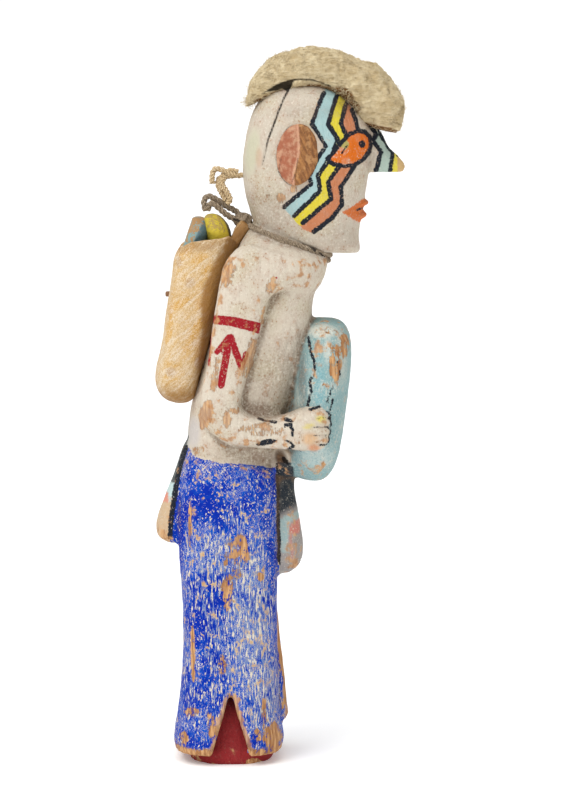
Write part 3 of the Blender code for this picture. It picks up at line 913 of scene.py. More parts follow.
FLEECE: Tuple[Station, ...] = (
    (-6.6, 256.0, -7.0, 259.5, 7.0, 2.2), (-11.5, 258.0, -9.5, 267.7, 10.0, 2.4),
    (-17.0, 260.0, -15.8, 273.9, 12.0, 2.6), (-24.0, 261.5, -23.1, 277.4, 13.0, 2.7),
    (-31.2, 262.5, -31.7, 278.6, 13.5, 2.7), (-38.4, 261.5, -41.4, 277.2, 13.5, 2.7),
    (-44.0, 258.5, -50.4, 273.9, 13.5, 2.7), (-47.0, 254.0, -58.1, 270.4, 13.5, 2.7),
    (-50.5, 250.5, -63.6, 264.6, 13.0, 2.6), (-55.1, 247.9, -67.1, 260.0, 12.5, 2.5),
    (-59.4, 246.6, -67.9, 255.3, 11.5, 2.4), (-64.0, 245.8, -66.6, 249.4, 8.0, 2.2))

BAG: Tuple[Station, ...] = (
    (21.4, 140.6, 15.4, 141.2, 9.0, 2.4), (25.6, 142.0, 13.6, 143.0, 13.5, 2.8),
    (28.4, 145.2, 12.8, 146.0, 16.0, 3.2), (29.4, 150.0, 12.0, 150.4, 17.0, 3.4),
    (28.2, 158.0, 9.8, 158.0, 17.2, 3.4), (25.6, 172.0, 6.0, 172.0, 17.0, 3.4),
    (23.6, 186.0, 2.2, 186.0, 16.8, 3.3), (22.2, 196.5, -0.8, 197.0, 16.2, 3.2),
    (20.8, 201.0, -2.2, 203.5, 15.6, 3.2))


@dataclass(frozen=True)
class Slab:
    """Form of the tablet: the ends of its middle line, its half sizes and its squareness."""

    top: Point2 = (-38.2, 173.2)
    bottom: Point2 = (-30.4, 110.0)
    half_width: float = 23.0
    half_depth: float = 11.2
    power: float = 3.4

    def line(self) -> Tuple[Array, Array]:
        """Middle of the tablet and the way from there to its top."""
        top, bottom = np.array(self.top), np.array(self.bottom)
        return (top + bottom) / 2.0, (top - bottom) / 2.0

    def size(self, share: Array) -> Array:
        """Share of the full width that is left at a place from -1 to 1 on the middle line."""
        return (1.0 - np.abs(share) ** self.power) ** (1.0 / self.power)


TABLET = Slab()

# lower end of the head's paint, in millimetres above the ground
CHIN = 199.0


# the figure


@dataclass
class Figure:
    """The carving: head, torso, arms, tablet, skirt, sash panels and base in one skin."""

    head_voxel: float = 0.00060
    body_voxel: float = 0.00103
    tool_marks: float = 0.00016
    flap: float = 4.2
    notch_half: float = 7.3
    notch_top: float = 28.0
    noise: Noise = field(default_factory=lambda: Noise(11))

    def build(self) -> Obj:
        """Builds the dressed carving.

        Returns:
            The finished piece.
        """
        head = self.head()
        body = self.body()
        figure = combine(body, head, "UNION")
        figure.name = "figure_carving"
        self.mark(figure)
        FigurePaint().dress(figure)
        return figure

    def head(self) -> Obj:
        """Head with its nose and lips.

        Returns:
            The head's skin.
        """
        forms = [closed_skin("head", skin(HEAD, 70, 96)), closed_skin("nose", skin(NOSE, 36, 48))]
        for z, reach, height in ((218.6, 53.3, 2.3), (213.8, 52.6, 2.7)):
            forms.append(self.lip(z, reach, height))
        return fuse("head_skin", forms, self.head_voxel, 4)

    def lip(self, z: float, reach: float, height: float) -> Obj:
        """Flattened ellipsoid wrapped round the face: rings of cos along an axis across it.

        Args:
            z: height in millimetres.
            reach: how far the lip stands forward.
            height: half height.

        Returns:
            The closed form.
        """
        turn = np.linspace(0.02, math.pi - 0.02, 24)[:, None]
        angle = circle(48)
        return closed_skin("lip", lattice(
            13.5 * np.sin(turn) * np.cos(angle),
            -(reach - 9.4) + 10.0 * np.sin(turn) * np.sin(angle), z + height * np.cos(turn)))

    def tablet(self) -> Obj:
        """Rounded slab: ring size (1 - |s|^3.4)^(1/3.4) along its axis s from -1 to 1.

        Returns:
            The closed form.
        """
        middle, axis = TABLET.line()
        across = np.array([axis[1], -axis[0]]) / np.linalg.norm(axis)
        share = np.sin(math.pi * (np.linspace(0.004, 0.996, 60) - 0.5))
        size = TABLET.size(share)
        centre = middle + share[:, None] * axis
        angle = circle(80)
        reach = TABLET.half_depth * size[:, None] * signed_power(np.sin(angle), 0.8)
        return closed_skin("tablet", lattice(
            TABLET.half_width * size[:, None] * signed_power(np.cos(angle), 0.8),
            centre[:, :1] + across[0] * reach, centre[:, 1:] + across[1] * reach))

    def arm(self, side: float) -> Obj:
        """One arm; its stations carry their own middle across the doll.

        Args:
            side: -1 for the right side, 1 for the left.

        Returns:
            The closed form.
        """
        rows = spline(ARM, 90)
        rear, front = rows[:, 0:2], rows[:, 2:4]
        middle, half = (rear + front) / 2.0, (rear - front) / 2.0
        angle = circle(48)
        along = signed_power(np.sin(angle), 2.0 / 2.9)
        return closed_skin("arm", lattice(
            side * (rows[:, 4:5] + rows[:, 5:6] * signed_power(np.cos(angle), 2.0 / 2.9)),
            middle[:, :1] + half[:, :1] * along, middle[:, 1:] + half[:, 1:] * along))

    def body(self) -> Obj:
        """Everything below the head.

        Returns:
            The body's skin.
        """
        skirt = closed_skin("skirt", skin(SKIRT, 90, 128))
        wall = self.flap
        cavity = skin(((23.6 - wall, -2.0, -21.6 + wall, -2.0, 27.6 - wall, 3.0),
                       (22.7 - wall, 8.0, -20.9 + wall, 8.0, 27.2 - wall, 3.0),
                       (20.9 - wall, 20.0, -20.6 + wall, 20.0, 26.2 - wall, 3.0),
                       (19.7 - wall, 28.0, -19.6 + wall, 28.0, 25.2 - wall, 3.0)), 24, 96)
        combine(skirt, closed_skin("cavity", cavity), "DIFFERENCE")
        for side in (-1.0, 1.0):
            combine(skirt, self.wedge(side), "DIFFERENCE")
        combine(skirt, self.step(), "DIFFERENCE")
        forms = [closed_skin("torso", skin(TORSO, 80, 96)), self.arm(-1.0), self.arm(1.0),
                 self.tablet(), skirt, closed_skin("back_panel", skin(BACK_PANEL, 40, 64)),
                 closed_skin("front_panel", skin(FRONT_PANEL, 40, 64)),
                 closed_skin("base", skin(BASE, 60, 96)),
                 closed_skin("bridge", skin(BRIDGE, 24, 48))]
        return fuse("body_skin", forms, self.body_voxel, 3)

    def wedge(self, side: float) -> Obj:
        """V-shaped cutter of the notch at one side: the half width shrinks up to its top.

        Args:
            side: -1 for the right side, 1 for the left.

        Returns:
            The cutter.
        """
        half, top = self.notch_half, self.notch_top
        rows = np.array([(-half * 1.12, -3.0), (-half, 4.5), (-1.2, top - 2.5), (-0.3, top),
                         (0.3, top), (1.2, top - 2.5), (half, 4.5), (half * 1.12, -3.0)])
        points = np.array([(side * x, y, z) for x in (18.0, 40.0) for y, z in rows]) * MM
        faces = [[k, (k + 1) % 8, 8 + (k + 1) % 8, 8 + k] for k in range(8)]
        faces += [list(range(7, -1, -1)), list(range(8, 16))]
        return solid("wedge", points, faces)

    def step(self) -> Obj:
        """Box that shortens the far front flap.

        Returns:
            The cutter.
        """
        points = np.array([(x, y, z) for x in (2.0, 50.0) for y in (-45.0, -10.0) for z in (-10.0,
                                                                                            14.6)]) * MM
        faces = [[0, 1, 3, 2], [4, 6, 7, 5], [0, 4, 5, 1], [2, 3, 7, 6], [0, 2, 6, 4], [1, 5, 7, 3]]
        return solid("step", points, faces)

    def mark(self, figure: Obj) -> None:
        """Moves the skin for tool marks, the drying crack, the grooves and the far flap.

        Each point moves along its normal by the sum of layered noise and, in the grooves, of
        -depth exp(-(distance / width)^2).

        Args:
            figure: the carving.
        """
        mesh = figure.data
        points = vertices(mesh)
        outward = normals(mesh)
        uv = SHEET.project(points)
        shift = self.tool_marks * self.noise.layered(points / 0.006, 2)
        shift += 0.00007 * self.noise.layered(points / np.array([0.0011, 0.0011, 0.0026]), 2)
        for stroke, depth, width in FigurePaint.grooves():
            gap = stroke.ink(uv) + stroke.width / 2.0
            mask = np.exp(-(gap / width) ** 2)
            if stroke.points[0][1] > 300:
                mask *= smoothstep(0.019, 0.022, np.abs(points[:, 0]))
            shift -= depth * mask
        points = points + outward * shift[:, None]
        z = points[:, 2] / MM
        flare = (1.0 - smoothstep(20.0, 62.0, z)) * smoothstep(11.0, 13.5, z)
        flare *= 1.0 - smoothstep(-0.017, -0.011, points[:, 1])
        points[:, 1] -= 0.0031 * flare * smoothstep(0.0005, 0.003, points[:, 0])
        put_vertices(mesh, points)


@dataclass(frozen=True)
class Spots:
    """The carving's points: places on the side drawing, in the doll, and masks of its zones."""

    uv: Array
    side: Array
    y: Array
    z: Array
    tablet: Array
    base: Array

    @classmethod
    def of(cls, points: Array) -> "Spots":
        """Sorts points into zones.

        A point belongs to the tablet where its distance across, the 2.5 norm of its shares of
        the half sizes, is under the slab's size at that height.

        Args:
            points: n by 3 places in metres.

        Returns:
            The points' places and masks, y and z in millimetres.
        """
        side = np.abs(points[:, 0])
        y, z = points[:, 1] / MM, points[:, 2] / MM
        middle, axis = TABLET.line()
        away = np.stack([y, z], axis=1) - middle
        length = np.linalg.norm(axis)
        along = away @ axis / length / length
        across = away @ np.array([axis[1], -axis[0]]) / length / TABLET.half_depth
        wide = (np.abs(side / MM / TABLET.half_width) ** 2.5 + np.abs(across) ** 2.5) ** (1.0 / 2.5)
        size = TABLET.size(np.minimum(np.abs(along), 0.999))
        tablet = (wide < size + 0.05) & (y < -19.0) & (z < 175.0) & (z > 108.0)
        base = (z < 34.0) & ((np.abs(y) / 17.6) ** 2.6 + (side / MM / 22.9) ** 2.6 < 1.0)
        return cls(SHEET.project(points), side, y, z, tablet, base | (z < 1.6))

    @property
    def u(self) -> Array:
        """Columns on the side drawing."""
        return self.uv[:, 0]

    @property
    def v(self) -> Array:
        """Rows on the side drawing."""
        return self.uv[:, 1]

    @property
    def head(self) -> Array:
        """Points of the head."""
        return self.z > CHIN

    @property
    def low(self) -> Array:
        """Points below the waist that can be part of the sash ends."""
        return ((self.z < 128.0) & ~self.tablet & ~self.base & ((self.u < 200) | (self.v > 461)))


@dataclass(frozen=True)
class FigurePaint:
    """Whitewash and paint of the carving, laid out on the side drawing."""

    white: Colour = tint(205, 194, 177)
    black: Colour = tint(32, 36, 44)
    red: Colour = tint(132, 38, 40)
    arm_red: Colour = tint(150, 28, 38)
    slate: Colour = tint(138, 168, 168)

    @staticmethod
    def grooves() -> List[Tuple[Stroke, float, float]]:
        """Grooves with their depth in metres and width in drawing units.

        Returns:
            Strokes, depths and widths.
        """
        fingers = [Stroke(((start, v), (331, v))) for start, v in ((316, 418), (311, 427), (310, 436),
                                                                   (315, 445))]
        cuff = Stroke(((291, 420), (292, 434), (291, 450)))
        return ([(FigurePaint.crack(), 0.0007, 1.0), (cuff, 0.0003, 1.2)] + [(line, 0.0008,
                                                                              1.5) for line in fingers])

    @staticmethod
    def crack() -> Stroke:
        """Drying crack of the head, which runs down from the fleece."""
        return Stroke(((288, 91), (284, 98), (279, 110), (274, 124), (268, 140), (264, 158),
                       (262, 166)), 1.7)

    @staticmethod
    def bands() -> List[Stroke]:
        """The four black lines of the zigzag bands, from the ear side to the face."""
        return [Stroke(((324, 93), (319, 104), (312, 124), (326, 146), (318, 158), (309, 176),
                        (311, 184), (284, 207)), 4.4),
                Stroke(((337, 95), (334, 104), (328, 124), (338, 140), (333, 152), (326, 164),
                        (318, 176), (320, 191), (294, 216)), 4.6),
                Stroke(((351, 97), (346, 104), (341, 123), (347, 138), (343, 160), (338, 168),
                        (328, 182), (331, 199), (303, 223)), 4.6),
                Stroke(((352, 110), (355, 118), (358, 130), (358, 160), (355, 165), (341, 187),
                        (342, 205), (332, 218), (314, 232)), 4.6)]

    def dress(self, figure: Obj) -> None:
        """Lays the paint's fields on the mesh and gives it the material.

        Args:
            figure: the carving.
        """
        mesh = figure.data
        at = Spots.of(vertices(mesh))
        paint = self.paint(at)
        painted = smoothstep(0.0, 0.04, np.abs(paint - np.array(self.white)).max(axis=1))
        put_field(mesh, "painted", painted)
        # the head is made darker, its whites most; the base's red is brighter at its foot and darkened
        # toward its top as painted shade under the skirt
        tone_and_shade = 1.0 - smoothstep(196.0, 206.0, at.z) * (0.10 - 0.06 * painted)
        tone_and_shade = np.where(at.base, 1.16 - 0.95 * smoothstep(17.0, 28.0, at.z), tone_and_shade)
        put_colour(mesh, "paint", paint * tone_and_shade[:, None])
        fleck = np.where(at.base, 0.10, np.where(at.head, 0.6, 1.0))
        fleck = np.where(at.head & (self.eye().area(at.uv) < 0) & (at.v > 148), 2.0, fleck)
        hanging = (at.z < 118.0) & (self.kilt(at) < -40.0) & ~at.tablet & ~at.base
        put_field(mesh, "fleck", np.where(hanging & (at.v > 512.0), 1.7, fleck))
        put_field(mesh, "slab", at.tablet.astype(float))
        for name, made in (("ink", self.ink), ("arm_red", self.arm_marks), ("kilt", self.kilt),
                           ("wear", self.wear), ("grime_and_shade", self.grime_and_shade), ("fade", self.fade)):
            put_field(mesh, name, made(at))
        # how deep each point lies in a hollow; the material darkens it as grime and painted shade
        hollow = hollows(mesh, 26)
        put_field(mesh, "hollow", np.maximum(hollow, 0.0))
        put_field(mesh, "edge", np.maximum(-hollows(mesh, 8), 0.0) * (at.z < CHIN)
                  * np.where(at.base | (at.side > 0.018) & (at.u > 296)
                             & (at.z > 120.0) & (at.z < 146.0), 0.4, 1.0))
        # painted shadow in gaps and hollows, and the dark line of the head's crack
        put_field(mesh, "gap", self.crack_and_shadows(at))
        coat(figure, self.material())

    def paint(self, at: Spots) -> Array:
        """Ground colour of each point.

        Args:
            at: the carving's points.

        Returns:
            n by 3 colours.
        """
        colour = np.tile(np.array(self.white), (len(at.uv), 1))
        lines = [line.side(at.uv) for line in self.bands()]
        shades = (tint(162, 192, 192), tint(215, 197, 62), tint(194, 125, 88))
        cut = Stroke(((284, 207), (304, 228), (314, 232))).side(at.uv)
        for near, far, shade in zip(lines[:-1], lines[1:], shades):
            colour[at.head & (near > 0) & (far < 0) & (at.v < 233) & (cut > -1.5)] = shade
        colour = lay(colour, at.uv, at.head, (
            (Blot(252, 152, 10, 34, 0.35, 8), tint(178, 188, 146)),
            (Blot(259, 158, 5, 16, 0.4), tint(186, 140, 104))))
        eye = self.eye().area(at.uv)
        colour[at.head & (eye < 0)] = tint(218, 110, 32)
        smear = Blot(343, 143, 9, 6, 1.0, 40.0).field(at.uv)
        colour[at.head & (eye < 0) & (smear > 0.3)] = tint(176, 164, 92)
        mouth = self.mouth().area(at.uv)
        colour[at.head & (mouth < 0)] = tint(201, 107, 52)
        nose = [line.side(at.uv) for line in self.nose_lines()]
        front = at.head & (at.y < -53.6) & (at.z > 229.0)
        colour[front & (nose[0] > 0) & (nose[1] < 0)] = tint(168, 186, 174)
        colour[front & (nose[1] > 0)] = tint(220, 203, 76)
        colour[front & (at.u > 397.5) & (at.v > 156)] = tint(206, 172, 120)
        colour[at.tablet] = self.slate
        colour = lay(colour, at.uv, at.tablet, (
            (Blot(322, 331, 22, 9, 0.95), tint(212, 214, 202)),
            (Blot(341, 356, 9, 38, 0.55), tint(200, 198, 184)),
            (Blot(316, 456, 24, 16, 0.5), tint(196, 210, 206)),
            (Blot(328, 350, 6, 20, 0.6), tint(208, 210, 200)),
            (Blot(320, 390, 8, 44, 0.5), tint(116, 172, 182)),
            # painted shade on the tablet's side toward the chest
            (Blot(303, 384, 7, 44, 0.55), tint(104, 132, 138))))
        waist = (at.z > 108.0) & (at.z < 146.0) & ~at.tablet
        colour = lay(colour, at.uv, waist, (
            (Blot(194, 432, 9, 22, 0.6), tint(186, 181, 182)),
            (Blot(186, 440, 5, 16, 0.5), tint(166, 172, 172)),
            (Blot(281, 459, 8, 12, 1.0, -25), tint(74, 50, 32))))
        colour[at.base] = self.red
        self.sash(colour, at)
        hand = (at.side > 0.018) & (at.u > 294) & (at.v < 455) & (at.z > 120.0) & (at.z < 145.0)
        colour = lay(colour, at.uv, hand, (
            (Blot(310, 439, 12, 9, 0.8), tint(208, 166, 122)),
            (Blot(321, 419, 7, 5, 0.9), tint(214, 196, 84)),
            (Blot(309, 426, 9, 3.4, 0.8, -22), tint(210, 192, 104)),
            (Blot(314, 448, 8, 5, 0.8), tint(204, 132, 84))))
        return colour

    def sash_ends(self, at: Spots) -> Tuple[Array, Array]:
        """Where the back and the front sash end lie on the side drawing."""
        return ((self.back_edge().side(at.uv) < 0) & (at.v < 545) & (at.u < 195),
                (self.front_edge().side(at.uv) > 0) & (at.v < 577) & (at.u > 270))

    def sash(self, colour: Array, at: Spots) -> None:
        """Colours of the two hanging sash ends.

        Args:
            colour: n by 3 colours, changed in place.
            at: the carving's points.
        """
        back, front = (at.low & end for end in self.sash_ends(at))
        v = at.v
        colour[back] = tint(190, 190, 180)
        colour[back & (v < 482)] = tint(84, 88, 88)
        colour[back & (v >= 482) & (v < 496)] = tint(186, 208, 206)
        colour[back & (v >= 492) & (v < 502) & (at.u < 168)] = tint(208, 138, 118)
        colour[back & (v >= 502)] = tint(196, 170, 138)
        colour[front] = tint(152, 146, 142)
        dark = 1.0 - smoothstep(-7.0, 5.0, v - 516.0 + 0.55 * (at.u - 280.0))
        light = Stroke(((279, 518), (290, 516), (300, 508), (300, 520), (290, 522), (288, 533),
                        (289, 552), (280, 552))).area(at.uv)
        colour[front & (light < 0)] = tint(154, 174, 172)
        rose = Stroke(((300, 517), (292, 523), (289, 530), (290, 536), (300, 532))).area(at.uv)
        colour[front & (rose < 0)] = tint(196, 126, 112)
        seam = Stroke(((290, 538), (292, 548), (292, 558)), 2.6).ink(at.uv)
        colour[front & (seam < 0)] = tint(176, 134, 126)
        share = (dark * front)[:, None]
        colour[:] = colour * (1.0 - share) + np.array(tint(46, 51, 56)) * share

    @staticmethod
    def eye() -> Stroke:
        """Outline of the eye, its black rim's middle."""
        return Stroke(((327, 159), (335, 151), (342, 142), (350, 134), (358, 131), (365, 132), (370,
                                                                                                137),
                       (371, 144), (369, 152), (363, 160), (354, 165), (343, 166), (333, 164)), 4.4)

    @staticmethod
    def mouth() -> Stroke:
        """Outline of the painted lips."""
        return Stroke(((342, 212), (350, 208), (357, 203), (364, 198), (378, 199), (378, 222),
                       (358, 222), (352, 219)))

    @staticmethod
    def nose_lines() -> List[Stroke]:
        """Black lines at the side of the nose."""
        return [Stroke(((371, 126), (376, 134), (373, 141), (381, 152), (376, 171)), 4.6),
                Stroke(((379, 128), (382, 137), (388, 146), (393, 152), (390, 171)), 4.4)]

    @staticmethod
    def back_edge() -> Stroke:
        """Black edge of the back sash end."""
        return Stroke(((186, 447), (182, 460), (177, 480), (174, 500), (171, 520), (170, 542)), 5.0)

    @staticmethod
    def front_edge() -> Stroke:
        """Black edge of the front sash end."""
        return Stroke(((277, 464), (278, 490), (278, 520), (279, 545), (279, 572)), 3.4)

    def ink(self, at: Spots) -> Array:
        """Distance to the nearest black stroke, in drawing units.

        Args:
            at: the carving's points.

        Returns:
            n distances in drawing units.
        """
        uv, eye = at.uv, self.eye()
        face = [np.where(eye.area(uv) < 0, FAR, line.ink(uv)) for line in self.bands()]
        face += [np.where(at.y < -53.0, line.ink(uv), FAR) for line in self.nose_lines()]
        face += [np.abs(eye.area(uv)) - eye.width / 2.0,
                 np.hypot(at.u - 362, at.v - 144) - 3.6, np.hypot(at.u - 397, at.v - 156) - 1.0,
                 Stroke(((342, 153), (345, 148), (347, 146)), 2.2).ink(uv),
                 Stroke(((357, 210), (366, 207), (380, 207)), 1.8).ink(uv)]
        near = np.where(at.head, np.minimum(np.min(face, axis=0), FAR), FAR)
        slab = (Stroke(((308, 337), (310, 347), (311, 353), (314, 360), (315, 373), (310, 381),
                        (311, 392), (307, 408)), 2.8),
                Stroke(((338, 362), (340, 376)), 2.0), Stroke(((333, 386), (327, 402)), 1.8),
                Stroke(((333, 398), (329, 414)), 1.6))
        marks = (Stroke(((258, 418), (266, 421), (276, 422)), 2.6),
                 Stroke(((258, 444), (266, 441), (276, 441)), 3.4),
                 Stroke(((285, 426), (289, 424), (293, 430), (292, 436)), 3.0),
                 Stroke(((284, 440), (290, 442), (294, 446), (287, 450), (300, 452)), 2.4),
                 Stroke(((310, 410), (321, 406)), 3.4), Stroke(((284, 419), (292, 421)), 3.6),
                 Stroke(((291, 420), (292, 446)), 1.6), Stroke(((258, 444), (272, 442)), 4.0),
                 Stroke(((326, 411), (331, 414), (330, 418), (318, 418)), 1.6),
                 Stroke(((330, 420), (332, 424), (330, 427), (314, 427)), 1.6),
                 Stroke(((330, 429), (331, 433), (329, 436), (313, 436)), 1.6),
                 Stroke(((329, 438), (329, 442), (326, 445), (318, 445)), 1.6))
        arm = (at.side > 0.0205) & (at.z > 120.0) & (at.z < 145.0)
        for mask, strokes in ((at.tablet, slab), (arm, marks),
                              (at.low & (at.v < 540) & (at.u < 192), (self.back_edge(),)),
                              (at.low & (at.v < 566) & (at.u > 272), (self.front_edge(),))):
            near = np.where(mask, np.minimum(near, nearest_ink(strokes, uv)), near)
        return near

    def arm_marks(self, at: Spots) -> Array:
        """Distance to the nearest dark red stroke on the arm.

        Args:
            at: the carving's points.

        Returns:
            n distances in drawing units.
        """
        strokes = (Stroke(((211, 324), (210, 345), (209, 365)), 2.4),
                   Stroke(((221, 385), (224, 368), (227, 352), (229, 339)), 7.4),
                   Stroke(((229, 337), (223, 345), (217, 352)), 5.8),
                   Stroke(((231, 337), (236, 352), (241, 367)), 6.4),
                   Stroke(((241, 366), (244, 361), (246, 354)), 5.4))
        bar = Stroke(((213, 315), (236, 317), (261, 323), (259, 334), (246, 330), (230, 326),
                      (213, 324))).area(at.uv)
        spot = np.hypot(at.u - 276, at.v - 278) - 1.6
        near = np.min([bar, nearest_ink(strokes, at.uv), spot], axis=0)
        return np.where((at.side > 0.012) & (at.v > 270) & (at.v < 400), near, FAR)

    def crack_and_shadows(self, at: Spots) -> Array:
        """Distance to the head's crack and to painted shadow in gaps, in drawing units.

        Args:
            at: the carving's points.

        Returns:
            n distances in drawing units.
        """
        near = np.where(at.z > 210.0, self.crack().ink(at.uv) + 0.020 * np.maximum(at.v - 132.0, 0.0),
                        FAR)
        near = np.minimum(near, np.where(at.z > 245.0, self.under_fleece(at.uv), FAR))
        lean, half_y, half_z = Ears.lean, Ears.width / 2.0, Ears.length / 2.0
        across, along = at.y - Ears.centre[0], at.z - Ears.centre[1]
        reach = np.hypot((across * math.cos(lean) + along * math.sin(lean)) / half_y,
                         (along * math.cos(lean) - across * math.sin(lean)) / half_z)
        seat = np.abs(reach - 1.02) * half_y / 0.39 - 0.1 + 1.2 * smoothstep(-4.0, 4.0, -across)
        near = np.minimum(near, np.where(at.side > 0.012, seat, FAR))
        corner = Stroke(((280, 455), (285, 456), (290, 461), (288, 466), (282, 463))).area(at.uv) + 1.0
        return np.minimum(near, np.where((at.z < 130.0) & (at.side > 0.010), corner, FAR))

    @staticmethod
    def under_fleece(uv: Array) -> Array:
        """Distance to painted shadow under the fleece's rear edge and along its seam, negative inside.

        Args:
            uv: n by 2 places on the sheet.

        Returns:
            n distances in drawing units.
        """
        hollow = Stroke(((261, 94), (269, 89), (277, 84), (286, 81), (295, 79), (291, 87), (288, 92),
                         (283, 89), (273, 91))).area(uv)
        seam = Stroke(((294, 80), (303, 79), (313, 80), (330, 86)), 1.6).ink(uv)
        return np.minimum(hollow, seam)

    def kilt(self, at: Spots) -> Array:
        """Distance below the waist's line in drawing units, -FAR where no skirt can be.

        Args:
            at: the carving's points.

        Returns:
            n distances in drawing units.
        """
        waist = Stroke(((180, 447), (189, 448), (195, 457), (207, 459), (220, 463), (245, 464),
                        (277, 468), (300, 470))).side(at.uv)
        back, front = self.sash_ends(at)
        return np.where((at.z < 130.0) & ~at.tablet & ~at.base & ~back & ~front, -waist, -FAR)

    def wear(self, at: Spots) -> Array:
        """How far the paint is rubbed through, from named patches.

        Args:
            at: the carving's points.

        Returns:
            n values from 0 to 1.
        """
        blots = (Blot(206, 414, 10, 24, 0.95, 12), Blot(227, 420, 8, 16, 0.75),
                 Blot(262, 430, 40, 12, 0.62, 3), Blot(229, 274, 14, 24, 0.62, 25),
                 Blot(271, 285, 9, 18, 0.62, 20), Blot(263, 315, 5, 22, 0.6, 10),
                 Blot(249, 358, 10, 36, 0.68, 15), Blot(215, 375, 7, 36, 0.6, 5),
                 Blot(308, 440, 24, 16, 0.42), Blot(232, 408, 16, 10, 0.55, 20),
                 Blot(281, 198, 9, 10, 0.60), Blot(294, 188, 6, 10, 0.62), Blot(268, 195, 5, 8, 0.56),
                 Blot(316, 176, 3, 5, 0.5), Blot(335, 362, 12, 34, 0.66), Blot(345, 345, 8, 22, 0.66),
                 Blot(330, 330, 14, 8, 0.5), Blot(236, 556, 26, 44, 0.50),
                 Blot(244, 548, 9, 24, 0.72), Blot(260, 577, 6, 8, 0.7), Blot(228, 592, 12, 34, 0.62),
                 Blot(190, 522, 3.4, 46, 0.62), Blot(193, 655, 4.6, 54, 0.70, -1),
                 Blot(222, 665, 9, 20, 0.6), Blot(211, 725, 8, 26, 0.62, -8),
                 Blot(192, 712, 14, 10, 0.6), Blot(272, 735, 16, 22, 0.72),
                 Blot(264, 712, 5, 34, 0.6), Blot(184, 738, 9, 13, 0.64), Blot(257, 736, 9, 15, 0.62),
                 Blot(198, 450, 12, 9, 0.5), Blot(224, 447, 12, 4, 0.58, 28))
        total = strongest(blots, at.uv)
        flap = Stroke(((278, 612), (279, 640), (281, 658), (284, 680), (285, 700), (283, 709)),
                      5.0).ink(at.uv)
        strip = 0.80 * (1.0 - smoothstep(-1.2, 1.4, flap)) * (at.z < 60.0) * (at.z > 17.0)
        total = np.maximum(total, np.where((at.y < -12.0) & (at.side < 0.0042), strip, 0.0))
        hem = (1.0 - smoothstep(5.0, 11.0, at.z)) * 0.75
        total = np.maximum(total, np.where(at.base, 0.0, hem * 0.9))
        notch = 1.0 - smoothstep(0.3, 1.5 + 1.3 * (at.y > 0.0), np.abs(np.abs(at.y) - Figure.notch_half
                                                                       * (Figure.notch_top - at.z)
                                                                       / 23.5))
        total = np.maximum(total, np.where((at.side > 0.02) & (at.z < 28.5) & ~at.base, notch * 0.60,
                                           0.0))
        foot = strongest((Blot(254, 763, 14, 8, 0.9), Blot(196, 757, 9, 6, 0.5)), at.uv)
        return np.where(at.base, foot, total)

    def grime_and_shade(self, at: Spots) -> Array:
        """Brown grime and painted shade in hollows, corners and under the chin and forearms.

        Args:
            at: the carving's points.

        Returns:
            n values from 0 to 1.
        """
        blots = (Blot(262, 410, 34, 13, 0.9, 8), Blot(250, 456, 44, 13, 0.75, 8),
                 Blot(280, 456, 7, 11, 1.0), Blot(276, 380, 34, 60, 0.35, 16),
                 Blot(280, 240, 60, 8, 0.55, 18), Blot(345, 104, 14, 10, 0.6),
                 Blot(290, 408, 12, 10, 0.8), Blot(240, 212, 14, 20, 0.35),
                 Blot(268, 212, 40, 34, 0.34, 30), Blot(340, 238, 26, 20, 0.22),
                 Blot(301, 370, 6, 56, 0.60, -4), Blot(318, 112, 60, 10, 0.22),
                 Blot(236, 452, 22, 5, 0.8, 10))
        total = strongest(blots, at.uv)
        base = at.base
        return np.where(base, 0.0, total)

    def fade(self, at: Spots) -> Array:
        """Where the blue is rubbed to a pale haze, negative where it stays solid.

        Args:
            at: the carving's points.

        Returns:
            n values.
        """
        blots = (Blot(248, 612, 36, 110, 0.95), Blot(262, 690, 26, 80, 0.85),
                 Blot(222, 560, 48, 44, 0.75), Blot(190, 540, 10, 50, 0.40),
                 Blot(212, 660, 46, 110, 0.62), Blot(245, 480, 30, 20, 0.20),
                 Blot(196, 580, 20, 40, 0.45), Blot(238, 522, 16, 24, 0.6))
        solid = (Blot(202, 500, 20, 24, 0.5), Blot(206, 498, 12, 15, 1.0), Blot(202, 672, 9, 26, 0.5),
                 Blot(197, 636, 11, 34, 0.75), Blot(192, 484, 16, 20, 0.5),
                 Blot(216, 486, 16, 14, 0.4), Blot(224, 602, 10, 12, 0.35),
                 Blot(218, 682, 20, 9, 0.35, 35.0), Blot(273, 545, 7, 60, 0.8),
                 Blot(180, 515, 7, 60, 0.9), Blot(206, 705, 14, 12, 0.35))
        total = strongest(blots, at.uv)
        return total - 1.2 * sum(blot.field(at.uv) for blot in solid)

    def material(self) -> Material:
        """Bare wood under worn whitewash and paint, with grime, painted shade and painted shadow.

        Returns:
            The material.
        """
        tree = Tree("figure_paint")
        noise, step, mix, held = tree.noise, tree.step, tree.mix, tree.field
        broad = noise(75.0, 3.0, 0.55)
        cloud = noise(260.0, 4.0, 0.62)
        fine = noise(1150.0, 3.0, 0.6)
        pits = noise(2300.0, 2.0, 0.5)
        grain = noise(820.0, 3.0, 0.6, (1.0, 1.0, 0.10))
        streak = noise(1900.0, 3.0, 0.65, (1.0, 1.0, 0.16))
        slant = noise(1350.0, 3.0, 0.62, (1.0, 1.0, 0.42), turn=0.65)
        tilt = noise(1450.0, 3.0, 0.62, (1.0, 1.0, 0.42), turn=-0.7)
        upright = noise(1300.0, 3.0, 0.62, (1.0, 1.0, 0.22))
        worms = noise(760.0, 2.0, 0.5, distortion=1.5)
        lumpy = noise(640.0, 2.0, 0.5, (1.0, 1.0, 0.55))
        fade = held("fade")

        wood = mix(step(0.35, 0.68, grain), tint(158, 108, 68), tint(214, 168, 118))
        wood = mix(step(0.52, 0.7, cloud) * 0.5, wood, tint(180, 136, 96))

